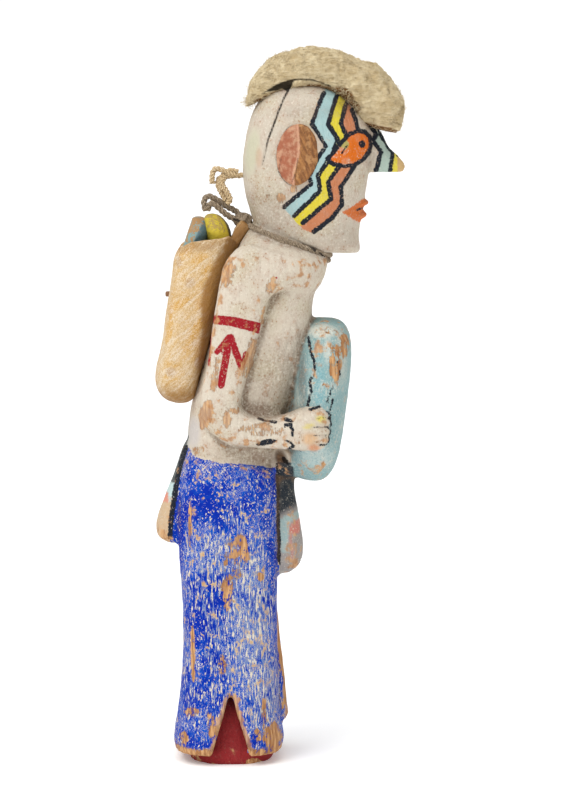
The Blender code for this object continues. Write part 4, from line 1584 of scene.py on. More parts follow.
        ground = tree.colours("paint")
        white = mix(step(0.42, 0.70, cloud) * 0.55, ground, tint(184, 160, 142))
        white = mix(step(0.45, 0.72, broad) * 0.38, white, tint(188, 178, 146))
        spots = step(0.575, 0.635, fine) & step(0.44, 0.60, broad)
        white = mix(spots * 0.38, white, tint(166, 122, 88))
        white = tree.stains(white, (
            (cloud * 0.3 + fine * 0.7 + 0.06, 0.66, 0.70, 0.60, tint(150, 100, 62)),
            (fine, 0.44, 0.34, 0.45, tint(226, 218, 204)),
            (streak, 0.63, 0.67, 0.32, tint(136, 104, 80))))
        paint = mix(step(0.46, 0.72, cloud) * held("fleck") * 0.20, ground, tint(190, 184, 172))
        paint = mix(step(0.60, 0.65, fine * 0.75 + pits * 0.25) * 0.55 * held("fleck"), paint,
                    tint(204, 196, 180))
        cracked = step(0.020, 0.008, tree.math("ABSOLUTE", worms - 0.5))
        cracked = cracked | step(0.585, 0.61, cloud * 0.6 + tilt * 0.4)
        cracked = cracked & step(0.42, 0.58, broad * 0.7 + cloud * 0.3)
        paint = mix(cracked * held("slab") * 0.75, paint, tint(214, 212, 200))
        chalk = step(0.54, 0.60, broad * 0.6 + upright * 0.4) * held("slab")
        paint = mix(chalk * 0.55, paint, tint(206, 206, 194))
        speckle = step(0.54, 0.60, pits * 0.5 + streak * 0.5) * held("slab")
        paint = mix(speckle * 0.40, paint, tint(198, 206, 200))
        speckle = step(0.46, 0.40, fine) * held("slab")
        paint = mix(speckle * 0.35, paint, tint(104, 140, 146))
        paint = mix(held("painted"), white, paint)

        blue = mix(step(0.40, 0.60, broad * 0.5 + cloud * 0.5), tint(0, 40, 158), tint(4, 80, 184))
        veil = step(0.555, 0.60, streak * 0.62 + cloud * 0.20 + upright * 0.18 + fade * 0.120)
        blue = mix(veil * 0.66, blue, tint(132, 150, 178))
        high = step(-0.1, 0.40, fade)
        crumb = mix(high, slant * 0.5 + tilt * 0.5, upright * 0.55 + streak * 0.45)
        flecks = step(0.545, 0.570, crumb * 0.86 + fine * 0.14 + fade * 0.020)
        chips = step(0.595, 0.612, cloud * 0.72 + fine * 0.28 + fade * 0.014)
        curls = step(0.022, 0.010, tree.math("ABSOLUTE", worms - 0.5))
        curls = curls & step(0.50, 0.55, broad * 0.6 + slant * 0.4)
        scratch = step(0.022, 0.010, tree.math("ABSOLUTE", slant - 0.5))
        scratch = scratch & step(0.50, 0.54, broad * 0.6 + tilt * 0.4 + fade * 0.04)
        curls = curls | (scratch * (1.0 - high))
        bare = mix(step(0.48, 0.58, cloud), tint(216, 206, 186), tint(202, 172, 134))
        skirt = mix(flecks | chips | curls, blue, bare)
        edge = held("kilt") + (cloud - 0.5) * 6.0 + (fine - 0.5) * 3.0
        colour = mix(step(-0.4, 0.6, edge), paint, skirt)

        chips = step(0.60, 0.66, fine * 0.7 + pits * 0.3)
        red = step(0.5, -0.5, held("arm_red") + (fine - 0.5) * 2.0 + (cloud - 0.5) * 1.6)
        colour = mix(red * (1.0 - chips * 0.8), colour, self.arm_red)
        ink = step(0.45, -0.45, held("ink") + (fine - 0.5) * 2.6 + (cloud - 0.5) * 3.0)
        colour = mix(ink * (1.0 - chips * 0.75), colour, self.black)

        rubbed = step(0.60, 0.635, held("wear") * 0.42 + cloud * 0.40 + streak * 0.28 + fine * 0.10)
        rubbed = rubbed | (step(0.605, 0.625, broad * 0.5 + cloud * 0.5) * held("slab"))
        solid = step(-0.4, 0.6, edge) | held("painted")
        colour = mix(rubbed * (solid * 0.26 + 0.74), colour, wood)
        worn_edge = step(0.00024, 0.00044, held("edge") + (cloud - 0.5) * 0.0013)
        colour = mix(worn_edge * 0.85, colour, wood)

        # grime and painted shade: the listed patches and the mesh's hollows, darkened brown
        grime_and_shade = held("grime_and_shade") | step(0.00020, 0.0012, held("hollow"))
        grime_and_shade = grime_and_shade * step(0.25, 0.60, cloud * 0.45 + fine * 0.55)
        colour = mix(grime_and_shade * 0.80, colour, tint(102, 80, 60))
        # painted shadow, almost black, in gaps and hollows and along the head's crack
        gap = step(0.7, -0.4, held("gap") + (fine - 0.5) * 1.6)
        colour = mix(gap * 0.94, colour, tint(20, 15, 12))
        height = grain * 0.35 + fine * 0.55 + cloud * 0.6 + lumpy * 1.0 - rubbed * 0.45
        normal = tree.bump(height, 0.0007, 0.85)
        return tree.finish(colour, 0.82 - rubbed * 0.12, normal, 0.12)


# the ears


@dataclass
class Ears:
    """Two oval wooden slabs with a raised, worn rim."""

    seat: float = 18.5
    thickness: float = 5.2
    length: float = 23.6
    width: float = 16.0
    centre: Point2 = (-26.0, 238.0)
    lean: float = math.radians(6.0)
    noise: Noise = field(default_factory=lambda: Noise(23))

    def build(self) -> List[Obj]:
        """Builds the near and the far ear.

        Returns:
            The right ear, then the left one.
        """
        finish = EarPaint().material()
        return [self.ear(name, side, finish) for name, side in (("ear_right", -1.0), ("ear_left", 1.0))]

    def ear(self, name: str, side: float, finish: Material) -> Obj:
        """One ear: ellipses from its seat outward, the last of them set back to the front.

        The outer face is a shallow dish: its rings shrink to the middle while x sinks by
        0.7 (1 - size^2)^2 mm.

        Args:
            name: name of what is made.
            side: -1 for the right side, 1 for the left.
            finish: its material.

        Returns:
            The finished ear.
        """
        outer = self.seat + self.thickness
        layers = [(self.seat + 0.02, 0.985, 0.0), (self.seat + 0.4, 1.0, 0.0)]
        layers += [(self.seat + self.thickness * t, 1.0, 0.0) for t in (0.2, 0.35, 0.5)]
        layers += [(outer - 1.2, 0.965, -0.03), (outer - 0.7, 0.93, -0.06), (outer - 0.3, 0.87, -0.09),
                   (outer - 0.08, 0.80, -0.12)]
        layers += [(outer - 0.7 * (1.0 - (size / 0.74) ** 2) ** 2, size, -0.16 * size / 0.74)
                   for size in (0.74, 0.66, 0.58, 0.5, 0.42, 0.34, 0.26, 0.18, 0.1, 0.03)]
        rows = np.array(layers)
        angle = circle(160)
        y = self.width / 2.0 * (rows[:, 1][:, None] * np.cos(angle) + rows[:, 2][:, None])
        grow = np.where(rows[:, 1] > 0.75, (1.0 + rows[:, 1]) / 2.0, rows[:, 1] * 1.17)
        z = self.length / 2.0 * grow[:, None] * np.sin(angle)
        obj = closed_skin(name + "_carving", lattice(
            side * rows[:, :1], self.centre[0] + y * math.cos(self.lean) - z * math.sin(self.lean),
            self.centre[1] + y * math.sin(self.lean) + z * math.cos(self.lean)))
        mesh = obj.data
        points = vertices(mesh)
        height = (np.abs(points[:, 0]) / MM - self.seat) / self.thickness
        uv = SHEET.project(points)
        rim = Stroke(((297, 118), (298, 134), (299, 146), (298, 158), (293, 174), (294, 190))).side(uv)
        rough = self.noise.layered(points / 0.0028, 3)
        fall = 0.0003 - 0.0019 * smoothstep(0.5, 21.0, np.abs(rim - 1.0))
        points = points + normals(mesh) * (rough * 0.00020 * (height > 0.3))[:, None]
        points[:, 0] += side * fall * smoothstep(0.4, 0.9, height)
        put_vertices(mesh, points)
        put_field(mesh, "rim", rim)
        cracks = (Stroke(((285, 142), (282, 156), (279, 168), (281, 180)), 0.7),
                  Stroke(((303, 146), (310, 150), (316, 158)), 0.5),
                  Stroke(((298, 158), (296, 172), (292, 182)), 0.6))
        put_field(mesh, "crack", nearest_ink(cracks, uv))
        return coat(obj, finish)


@dataclass(frozen=True)
class EarPaint:
    """Terracotta rim round a face worn to brown wood."""

    rim: Colour = tint(158, 90, 60)
    pale: Colour = tint(196, 152, 120)

    def material(self) -> Material:
        """Worn ear paint.

        Returns:
            The material.
        """
        tree = Tree("ear_paint")
        noise, step, mix, held = tree.noise, tree.step, tree.mix, tree.field
        cloud = noise(340.0, 4.0, 0.62)
        fine = noise(1300.0, 3.0, 0.6)
        grain = noise(1100.0, 3.0, 0.6, (1.0, 1.0, 0.25), turn=0.35)
        rim = mix(step(0.40, 0.66, cloud) * 0.80, self.rim, self.pale)
        rim = tree.stains(rim, (
            (cloud, 0.40, 0.30, 0.60, tint(152, 84, 58)),
            (fine, 0.55, 0.66, 0.5, tint(140, 84, 60))))
        face = mix(step(0.35, 0.7, grain), tint(116, 70, 32), tint(168, 114, 60))
        face = tree.stains(face, (
            (cloud, 0.50, 0.62, 0.50, tint(200, 150, 96)),
            (fine, 0.60, 0.70, 0.6, tint(92, 56, 32))))
        share = step(-2.2, 2.2, held("rim") + (cloud - 0.5) * 9.0)
        colour = mix(share, rim, face)
        # painted highlight along the ridge of the ear's face
        ridge = step(1.8, 0.4, tree.math("ABSOLUTE", held("rim") + (fine - 0.5) * 3.0))
        colour = mix(ridge * 0.55, colour, tint(222, 172, 142))
        crack = step(0.6, -0.4, held("crack") + (fine - 0.5) * 1.6)
        colour = mix(crack * 0.8, colour, tint(60, 38, 26))
        normal = tree.bump(grain * 0.5 + cloud * 0.9 + fine * 0.3, 0.0008, 0.9)
        return tree.finish(colour, 0.72, normal)


# the bag on the back


@dataclass
class Pouch:
    """Stiff hide bag with its tongue, its two painted contents and a peg."""

    wall: float = 2.2
    tongue_half: float = 8.0
    tongue_thick: float = 2.8
    voxel: float = 0.0006
    noise: Noise = field(default_factory=lambda: Noise(37))

    def build(self) -> Dict[str, Obj]:
        """Builds the bag, its contents and the peg, by node name.

        Returns:
            The pieces by node name.
        """
        inner = self.inner()
        made = {"bag": self.bag()}
        # each lump's second colour is the painted shade of its front face
        blue = WornLump("worn_blue", tint(124, 155, 154), tint(80, 107, 114), tint(166, 127, 80),
                        0.520, ((205, 214), (202, 222), (197, 232), (193, 242), (190, 252)))
        yellow = WornLump("worn_yellow", tint(198, 176, 48), tint(92, 78, 34), tint(168, 142, 72),
                          0.565, ((219, 214), (225, 224), (228, 234), (229, 246)))
        made["lump_blue"] = self.lump("lump_blue", 14.2, 5.5, 12.5, 213.0, 12.0, inner, blue)
        made["lump_yellow"] = self.lump("lump_yellow", 4.3, 5.0, 7.3, 214.4, 10.5, inner, yellow)
        bpy.data.objects.remove(inner)
        made["bag_peg"] = self.peg()
        return made

    def rings(self, count: int, rings: int, inset: float, raised: float) -> Array:
        """Skin of the bag moved inward, its last ring carried on past the rim.

        Args:
            count: how many points are in a ring.
            rings: how many rings.
            inset: how far the rings are moved inward, in millimetres.
            raised: how far past the rim, in steps of two rings.

        Returns:
            The grid.
        """
        grid = skin(BAG, rings, count, grow=-inset)
        if inset:
            low = BAG[1][1] + inset * 0.8
            floor = int(np.argmax(grid[:, :, 2].mean(axis=1) > low * MM))
            grid = grid[floor:]
        if raised:
            last = grid[-1] + (grid[-1] - grid[-3]) * raised
            grid = np.concatenate([grid, last[None]])
        return grid

    def inner(self) -> Obj:
        """Room inside the bag, open far past its rim."""
        return closed_skin("pouch_room", self.rings(96, 90, self.wall + 0.3, 12.0))

    def bag(self) -> Obj:
        """Hollow bag with its tongue to the nape.

        Returns:
            The finished bag.
        """
        body = closed_skin("bag_outside", self.rings(128, 110, 0.0, 0.0))
        path = np.array([(3.0, 190.0), (1.9, 194.5), (0.4, 199.0), (-1.0, 202.4), (-2.6, 205.4),
                         (-4.4, 208.0), (-6.4, 210.2)])
        share = np.linspace(0.0, 1.0, 40)
        rows = spline(np.concatenate([path, path], axis=1), len(share))[:, :2]
        tangent = np.gradient(rows, axis=0)
        tangent = unit(tangent)
        normal = np.stack([tangent[:, 1], -tangent[:, 0]], axis=1)
        taper = 1.0 - 0.35 * share
        angle = circle(40)
        across = self.tongue_half * taper[:, None] * signed_power(np.cos(angle), 0.5)
        under = 2.4 * smoothstep(0.30, 0.55, share)[:, None]
        lift = ((self.tongue_thick + under) / 2.0 * (1.0 + signed_power(np.sin(angle), 0.5)) - under)
        tongue = closed_skin("tongue", lattice(across, rows[:, :1] + normal[:, :1] * lift,
                                               rows[:, 1:] + normal[:, 1:] * lift))
        combine(body, tongue, "UNION")
        combine(body, closed_skin("room", self.rings(96, 90, self.wall, 12.0)), "DIFFERENCE")
        bag = fuse("bag_hide", [body], self.voxel, 3)
        mesh = bag.data
        points = vertices(mesh)
        wave = self.noise.layered(points / 0.011, 3) * 0.00036
        points = points + normals(mesh) * wave[:, None]
        lip = smoothstep(0.196, 0.201, points[:, 2]) * (points[:, 1] > -0.0015)
        points[:, 2] += 0.0009 * lip * (self.noise.layered(points / 0.0075 + 9.0, 2) - 0.6)
        walls = smoothstep(0.004, 0.013, np.abs(points[:, 0]))
        walls *= smoothstep(0.180, 0.201, points[:, 2]) * smoothstep(-0.004, 0.001, points[:, 1])
        points[:, 2] += 0.0030 * walls
        points[:, 2] -= 0.0016 * lip * smoothstep(0.014, 0.020, points[:, 1])
        put_vertices(mesh, points)
        HideSkin().dress(bag)
        return bag

    def lump(self, name: str, centre_y: float, half_y: float, tip_y: float, top: float,
             half_x: float, room: Obj, finish: "WornLump") -> Obj:
        """One domed bar that fills the bag: half size (1 - t^2.8)^0.5 over its last 11 mm.

        Args:
            name: name of what is made.
            centre_y: middle of the lump at the rim.
            half_y: half thickness.
            tip_y: middle of the lump's top.
            top: height of the top.
            half_x: half width.
            room: the bag's room.
            finish: what the piece is finished with.

        Returns:
            The finished piece.
        """
        rim, foot, crown = 203.0, 150.0, 11.0
        z = np.concatenate([np.linspace(foot, top - crown, 40),
                            top - crown * (1.0 - np.sin(np.linspace(0.05, 1.56, 30)))])
        dome = np.clip((z - (top - crown)) / crown, 0.0, 1.0)
        size = np.maximum((1.0 - dome ** 2.8) ** (1.0 / 2.0), 0.02)
        size *= 1.0 + 0.10 * smoothstep(rim + 1.0, rim + 5.0, z)
        middle = centre_y + 0.17 * np.maximum(rim - z, 0.0)
        middle += (tip_y - centre_y) * np.maximum(z - rim, 0.0) / (top - rim)
        angle = circle(96)
        obj = closed_skin(name + "_body", lattice(
            half_x * size[:, None] * signed_power(np.cos(angle), 0.9),
            middle[:, None] + half_y * size[:, None] * signed_power(np.sin(angle), 0.9),
            z[:, None]))
        combine(obj, room, "INTERSECT", keep=True)
        points = vertices(obj.data)
        push = self.noise.layered(points / 0.0035, 3) * 0.00022
        push *= smoothstep(0.200, 0.206, points[:, 2])
        points = points + normals(obj.data) * push[:, None]
        rear = smoothstep(centre_y, centre_y + 3.0, points[:, 1] / MM)
        points[:, 1] += 0.0011 * rear * (centre_y > 10.0) * smoothstep(0.200, 0.203, points[:, 2])
        put_vertices(obj.data, points)
        finish.dress(obj)
        return obj

    def peg(self) -> Obj:
        """Whittled peg through the bag's back.

        Returns:
            The finished piece.
        """
        along = np.array([20.6, 24.4, 25.1, 25.5, 25.6])
        size = np.array([1.0, 1.0, 0.96, 0.75, 0.3]) * 1.1
        angle = circle(32)
        obj = closed_skin("bag_peg_wood", lattice(0.3 + size[:, None] * np.cos(angle), along[:, None],
                                                  182.7 + size[:, None] * np.sin(angle)))
        tree = Tree("peg_wood")
        grain = tree.noise(900.0, 3.0, 0.5)
        colour = tree.mix(grain, tint(96, 62, 34), tint(146, 104, 66))
        return coat(obj, tree.finish(colour, 0.6, tree.bump(grain, 0.0003)))


@dataclass(frozen=True)
class HideSkin:
    """Ochre hide with painted shade in brown on its side toward the doll, rear and foot, worn pale on
    its side.
    """

    light: Colour = tint(211, 187, 149)
    ochre: Colour = tint(200, 157, 84)
    # colour of the painted shade
    brown: Colour = tint(146, 100, 34)

    def dress(self, bag: Obj) -> None:
        """Lays fields for the painted shade, the coloured patches and the rim, then the material.

        Args:
            bag: the bag.
        """
        mesh = bag.data
        points = vertices(mesh)
        uv = SHEET.project(points)
        y, z = points[:, 1] / MM, points[:, 2] / MM
        ridge = Stroke(((230, 236), (221, 247), (214, 261), (210, 271), (205, 283), (202, 298),
                        (201, 330), (199, 360), (195, 386))).side(uv)
        rear = Stroke(((178, 246), (172, 284), (166, 316), (160, 356), (160, 384))).side(uv)
        # painted shade: darker past the ridge toward the doll, at the rear and at the foot
        foot = 1.0 - smoothstep(141.0, 157.0, z)
        shade = np.maximum(smoothstep(-8.0, 6.0, ridge), 0.45 * (1.0 - smoothstep(-4.0, 8.0, rear)))
        shade = np.maximum(shade, foot * 0.86)
        put_field(mesh, "shade", shade)
        golden = (Blot(200, 259, 14, 6, 0.9, -30), Blot(181, 304, 15, 7, 0.9, -32),
                  Blot(169, 330, 6, 26, 0.8, 8), Blot(196, 330, 8, 26, 0.7, 20),
                  Blot(186, 350, 10, 20, 0.6, 25), Blot(172, 378, 16, 8, 0.5),
                  Blot(208, 272, 7, 18, 0.7, 18), Blot(186, 252, 14, 6, 0.5, -20))
        mauve = (Blot(190, 283, 9, 10, 0.7, 30), Blot(171, 372, 9, 8, 0.8), Blot(199, 363, 7, 10, 0.9),
                 Blot(179, 262, 5, 10, 0.7), Blot(182, 322, 9, 8, 0.45))
        put_field(mesh, "golden", strongest(golden, uv))
        put_field(mesh, "mauve", strongest(mauve, uv))
        height = (z - 201.0) + (y - 20.8) * 2.5 / 23.0
        put_field(mesh, "rim", smoothstep(-2.6, -0.6, height))
        coat(bag, self.material())

    def material(self) -> Material:
        """Worn hide.

        Returns:
            The material.
        """
        tree = Tree("worn_hide")
        noise, step, mix, held = tree.noise, tree.step, tree.mix, tree.field
        broad = noise(85.0, 4.0, 0.6, (1.0, 1.0, 0.7), turn=0.6)
        brush = noise(600.0, 4.0, 0.66, (1.0, 1.0, 0.26), turn=-0.85)
        fine = noise(2500.0, 3.0, 0.65, (1.0, 1.0, 0.75), turn=-0.6)
        shade = step(0.30, 0.95, held("shade") + (broad - 0.5) * 0.8 + (brush - 0.5) * 0.7)
        colour = mix(step(0.42, 0.60, brush * 0.40 + broad * 0.42 + fine * 0.18), self.light,
                     self.ochre)
        colour = mix(step(0.56, 0.68, broad) * 0.35, colour, tint(204, 164, 136))
        colour = mix(step(0.30, 0.80, held("golden") + (brush - 0.5) * 1.2) * 0.75,
                          colour, tint(204, 154, 62))
        colour = mix(step(0.25, 0.85, held("mauve") + (fine - 0.5) * 0.9) * 0.62,
                          colour, tint(176, 152, 132))
        colour = tree.stains(colour, (
            (brush, 0.47, 0.38, 0.45, tint(228, 214, 192)),
            (fine, 0.535, 0.575, 0.60, tint(228, 213, 188)),
            (fine, 0.465, 0.425, 0.50, tint(166, 120, 58))))
        # painted shade in brown
        colour = mix(shade * 0.90, colour, self.brown)
        colour = mix(step(0.60, 0.70, fine) * 0.30, colour, tint(130, 92, 52))
        colour = mix(held("rim") * step(0.35, 0.6, brush) * 0.5, colour, tint(142, 102, 56))
        normal = tree.bump(brush * 0.9 + fine * 0.3 + broad, 0.0009, 0.85)
        return tree.finish(colour, 0.62, normal)


@dataclass(frozen=True)
class WornLump:
    """Bright paint on a rough lump, rubbed off at its edges, with painted shade on its front face."""

    name: str
    paint: Colour
    shaded_face: Colour
    bare: Colour
    hold: float
    ridge: Tuple[Point2, ...]

    def dress(self, obj: Obj) -> None:
        """Lays the wear along the top edge and the painted shade of the front face, then the material.

        Args:
            obj: object to work on.
        """
        uv = SHEET.project(vertices(obj.data))
        outward = normals(obj.data)
        put_field(obj.data, "top", smoothstep(0.0, 0.8, outward[:, 2]))
        put_field(obj.data, "front", smoothstep(-2.0, 3.0, Stroke(self.ridge).side(uv)))
        coat(obj, self.material())

    def material(self) -> Material:
        """Paint over a chalky core.

        Returns:
            The material.
        """
        tree = Tree(self.name)
        step, mix, held = tree.step, tree.mix, tree.field
        cloud = tree.noise(360.0, 4.0, 0.65)
        fine = tree.noise(1900.0, 3.0, 0.6)
        # painted shade on the face beyond the ridge
        shaded_face = step(0.35, 0.75, held("front") + (cloud - 0.5) * 0.9)
        colour = mix(shaded_face, self.paint, self.shaded_face)
        bare = step(self.hold, self.hold + 0.05, cloud * 0.65 + fine * 0.35 + held("top") * 0.10
                    - held("front") * 0.08)
        colour = mix(bare, colour, self.bare)
        colour = mix(step(0.6, 0.75, fine) * 0.35, colour, tint(60, 48, 36))
        normal = tree.bump(cloud + fine * 0.5, 0.0008, 0.9)
        return tree.finish(colour, 0.75, normal)


# the fleece on the head


@dataclass
class Fleece:
    """Flat patch of wool on its hide: a lumpy body and thousands of curved fibres."""

    fibres: int = 15000
    steps: int = 5
    length: Tuple[float, float] = (0.0016, 0.0052)
    width: float = 0.00024
    noise: Noise = field(default_factory=lambda: Noise(51))

    def build(self) -> Obj:
        """Builds the body and its fibres in one mesh.

        Returns:
            The finished piece.
        """
        body = closed_skin("fleece_wool", skin(FLEECE, 130, 128))
        mesh = body.data
        points = vertices(mesh)
        outward = normals(mesh)
        under = 1.0 - smoothstep(-0.92, -0.70, outward[:, 2])
        clump = self.noise.layered(points / 0.007, 4)
        tuft = np.abs(self.noise.layered(points / 0.0022 + 40.0, 2))
        shift = clump * 0.0011 - tuft * 0.0009 + 0.0002
        put_vertices(mesh, points + outward * (shift * (1.0 - 0.7 * under))[:, None])
        points = vertices(mesh)
        uv = SHEET.project(points)
        patches = (Blot(345, 95, 18, 10, 0.95, 38.0), Blot(355, 107, 11, 8, 0.9, 60.0),
                   Blot(330, 88, 10, 4, 0.7, 20.0))
        hide = np.maximum(under, strongest(patches, uv) * smoothstep(-0.55, -0.05, -outward[:, 2]))
        put_field(mesh, "hide", hide)
        # painted shadow under the fleece's rear edge
        put_field(mesh, "gap", FigurePaint.under_fleece(uv))
        put_field(mesh, "tip", np.zeros(len(points)))
        locks, faces = self.strands(points, outward, under)
        wool = link("fibres", build_mesh("fibres", locks, faces))
        put_field(wool.data, "hide", np.zeros(len(locks)))
        # painted shadow under the fleece's rear edge, on the fibres too
        put_field(wool.data, "gap", FigurePaint.under_fleece(SHEET.project(locks)))
        put_field(wool.data, "tip", np.tile(np.repeat(np.linspace(0.0, 1.0, self.steps), 2),
                                            self.fibres))
        mesh.materials.append(Wool().material())
        wool.data.materials.append(mesh.materials[0])
        joined = join("fleece_wool", [body, wool])
        joined.data.shade_smooth()
        return joined

    def strands(self, points: Array, outward: Array, under: Array) -> Tuple[Array, Array]:
        """Ribbons that start on the body and lie back over it.

        A fibre of length L starts along lift * normal + lay * tangent and turns round a random
        axis by a small angle at each step, which bends it into an arc.

        Args:
            points: n by 3 places in metres.
            outward: n by 3 normals.
            under: how far a point lies on the underside.

        Returns:
            The ribbons' points and faces.
        """
        rng = np.random.default_rng(7)
        weight = (1.0 - 0.9 * under) * (0.55 + 0.45 * outward[:, 2] ** 2)
        weight[-2:] = 0.0
        roots = rng.choice(len(points), self.fibres, p=weight / weight.sum())
        root = points[roots] + rng.normal(0.0, 0.0004, (self.fibres, 3))
        normal = outward[roots]
        lay = rng.normal(0.0, 1.0, (self.fibres, 3))
        lay -= normal * np.einsum("ij,ij->i", lay, normal)[:, None]
        lay = unit(lay)
        loose = rng.uniform(0.0, 1.0, (self.fibres, 1)) ** 14 * 0.45
        heading = normal * (0.05 + loose) + lay
        heading = unit(heading)
        axis = normal + rng.normal(0.0, 0.28, (self.fibres, 3))
        axis = unit(axis)
        bend = rng.normal(0.0, 0.75, (self.fibres, 1))
        length = rng.uniform(*self.length, (self.fibres, 1))
        side = np.cross(heading, normal)
        side = unit(side)
        place = root - normal * 0.0004
        made = np.empty((self.fibres, self.steps, 2, 3))
        for step in range(self.steps):
            half = self.width * (1.0 - 0.75 * step / (self.steps - 1)) / 2.0
            made[:, step, 0] = place - side * half
            made[:, step, 1] = place + side * half
            heading = heading + np.cross(axis, heading) * bend - normal * 0.10
            heading = unit(heading)
            place = place + heading * length / (self.steps - 1)
        first = (np.arange(self.fibres) * self.steps * 2)[:, None]
        row = (np.arange(self.steps - 1) * 2)[None, :]
        a = (first + row).reshape(-1)
        return made.reshape(-1, 3), np.stack([a, a + 1, a + 3, a + 2], axis=1)


def join(name: str, objects: Sequence[Obj]) -> Obj:
    """Objects joined into the first of them with their attributes.

    Args:
        name: name of what is made.
        objects: the objects to join.

    Returns:
        The joined object.
    """
    first = objects[0]
    with bpy.context.temp_override(active_object=first, object=first,
                                   selected_objects=list(objects),
                                   selected_editable_objects=list(objects)):
        bpy.ops.object.join()
    first.name = name
    return first


@dataclass(frozen=True)
class Wool:
    """Old, yellowed wool over a tan hide."""

    light: Colour = tint(224, 209, 174)
    dark: Colour = tint(178, 156, 116)
    hide: Colour = tint(118, 86, 54)

    def material(self) -> Material:
        """Wool and hide.

        Returns:
            The material.
        """
        tree = Tree("wool")
        step, mix, held = tree.step, tree.mix, tree.field
        cloud = tree.noise(190.0, 4.0, 0.6)
        streak = tree.noise(1100.0, 3.0, 0.6, (0.5, 0.25, 1.0))
        colour = mix(step(0.3, 0.72, cloud * 0.6 + streak * 0.4), self.dark, self.light)
        colour = mix(held("tip") * 0.35, colour, tint(222, 206, 172))
        colour = mix(step(0.3, 0.8, held("hide") + (cloud - 0.5) * 0.6), colour, self.hide)
        # painted shadow in the gap under the fleece's rear edge
        gap = step(0.8, -0.8, held("gap") + (streak - 0.5) * 4.0)
        colour = mix(gap * 0.94, colour, tint(22, 16, 12))
        normal = tree.bump(streak, 0.0012, 0.8)
        return tree.finish(colour, 0.9, normal, 0.1)


# cord and ties


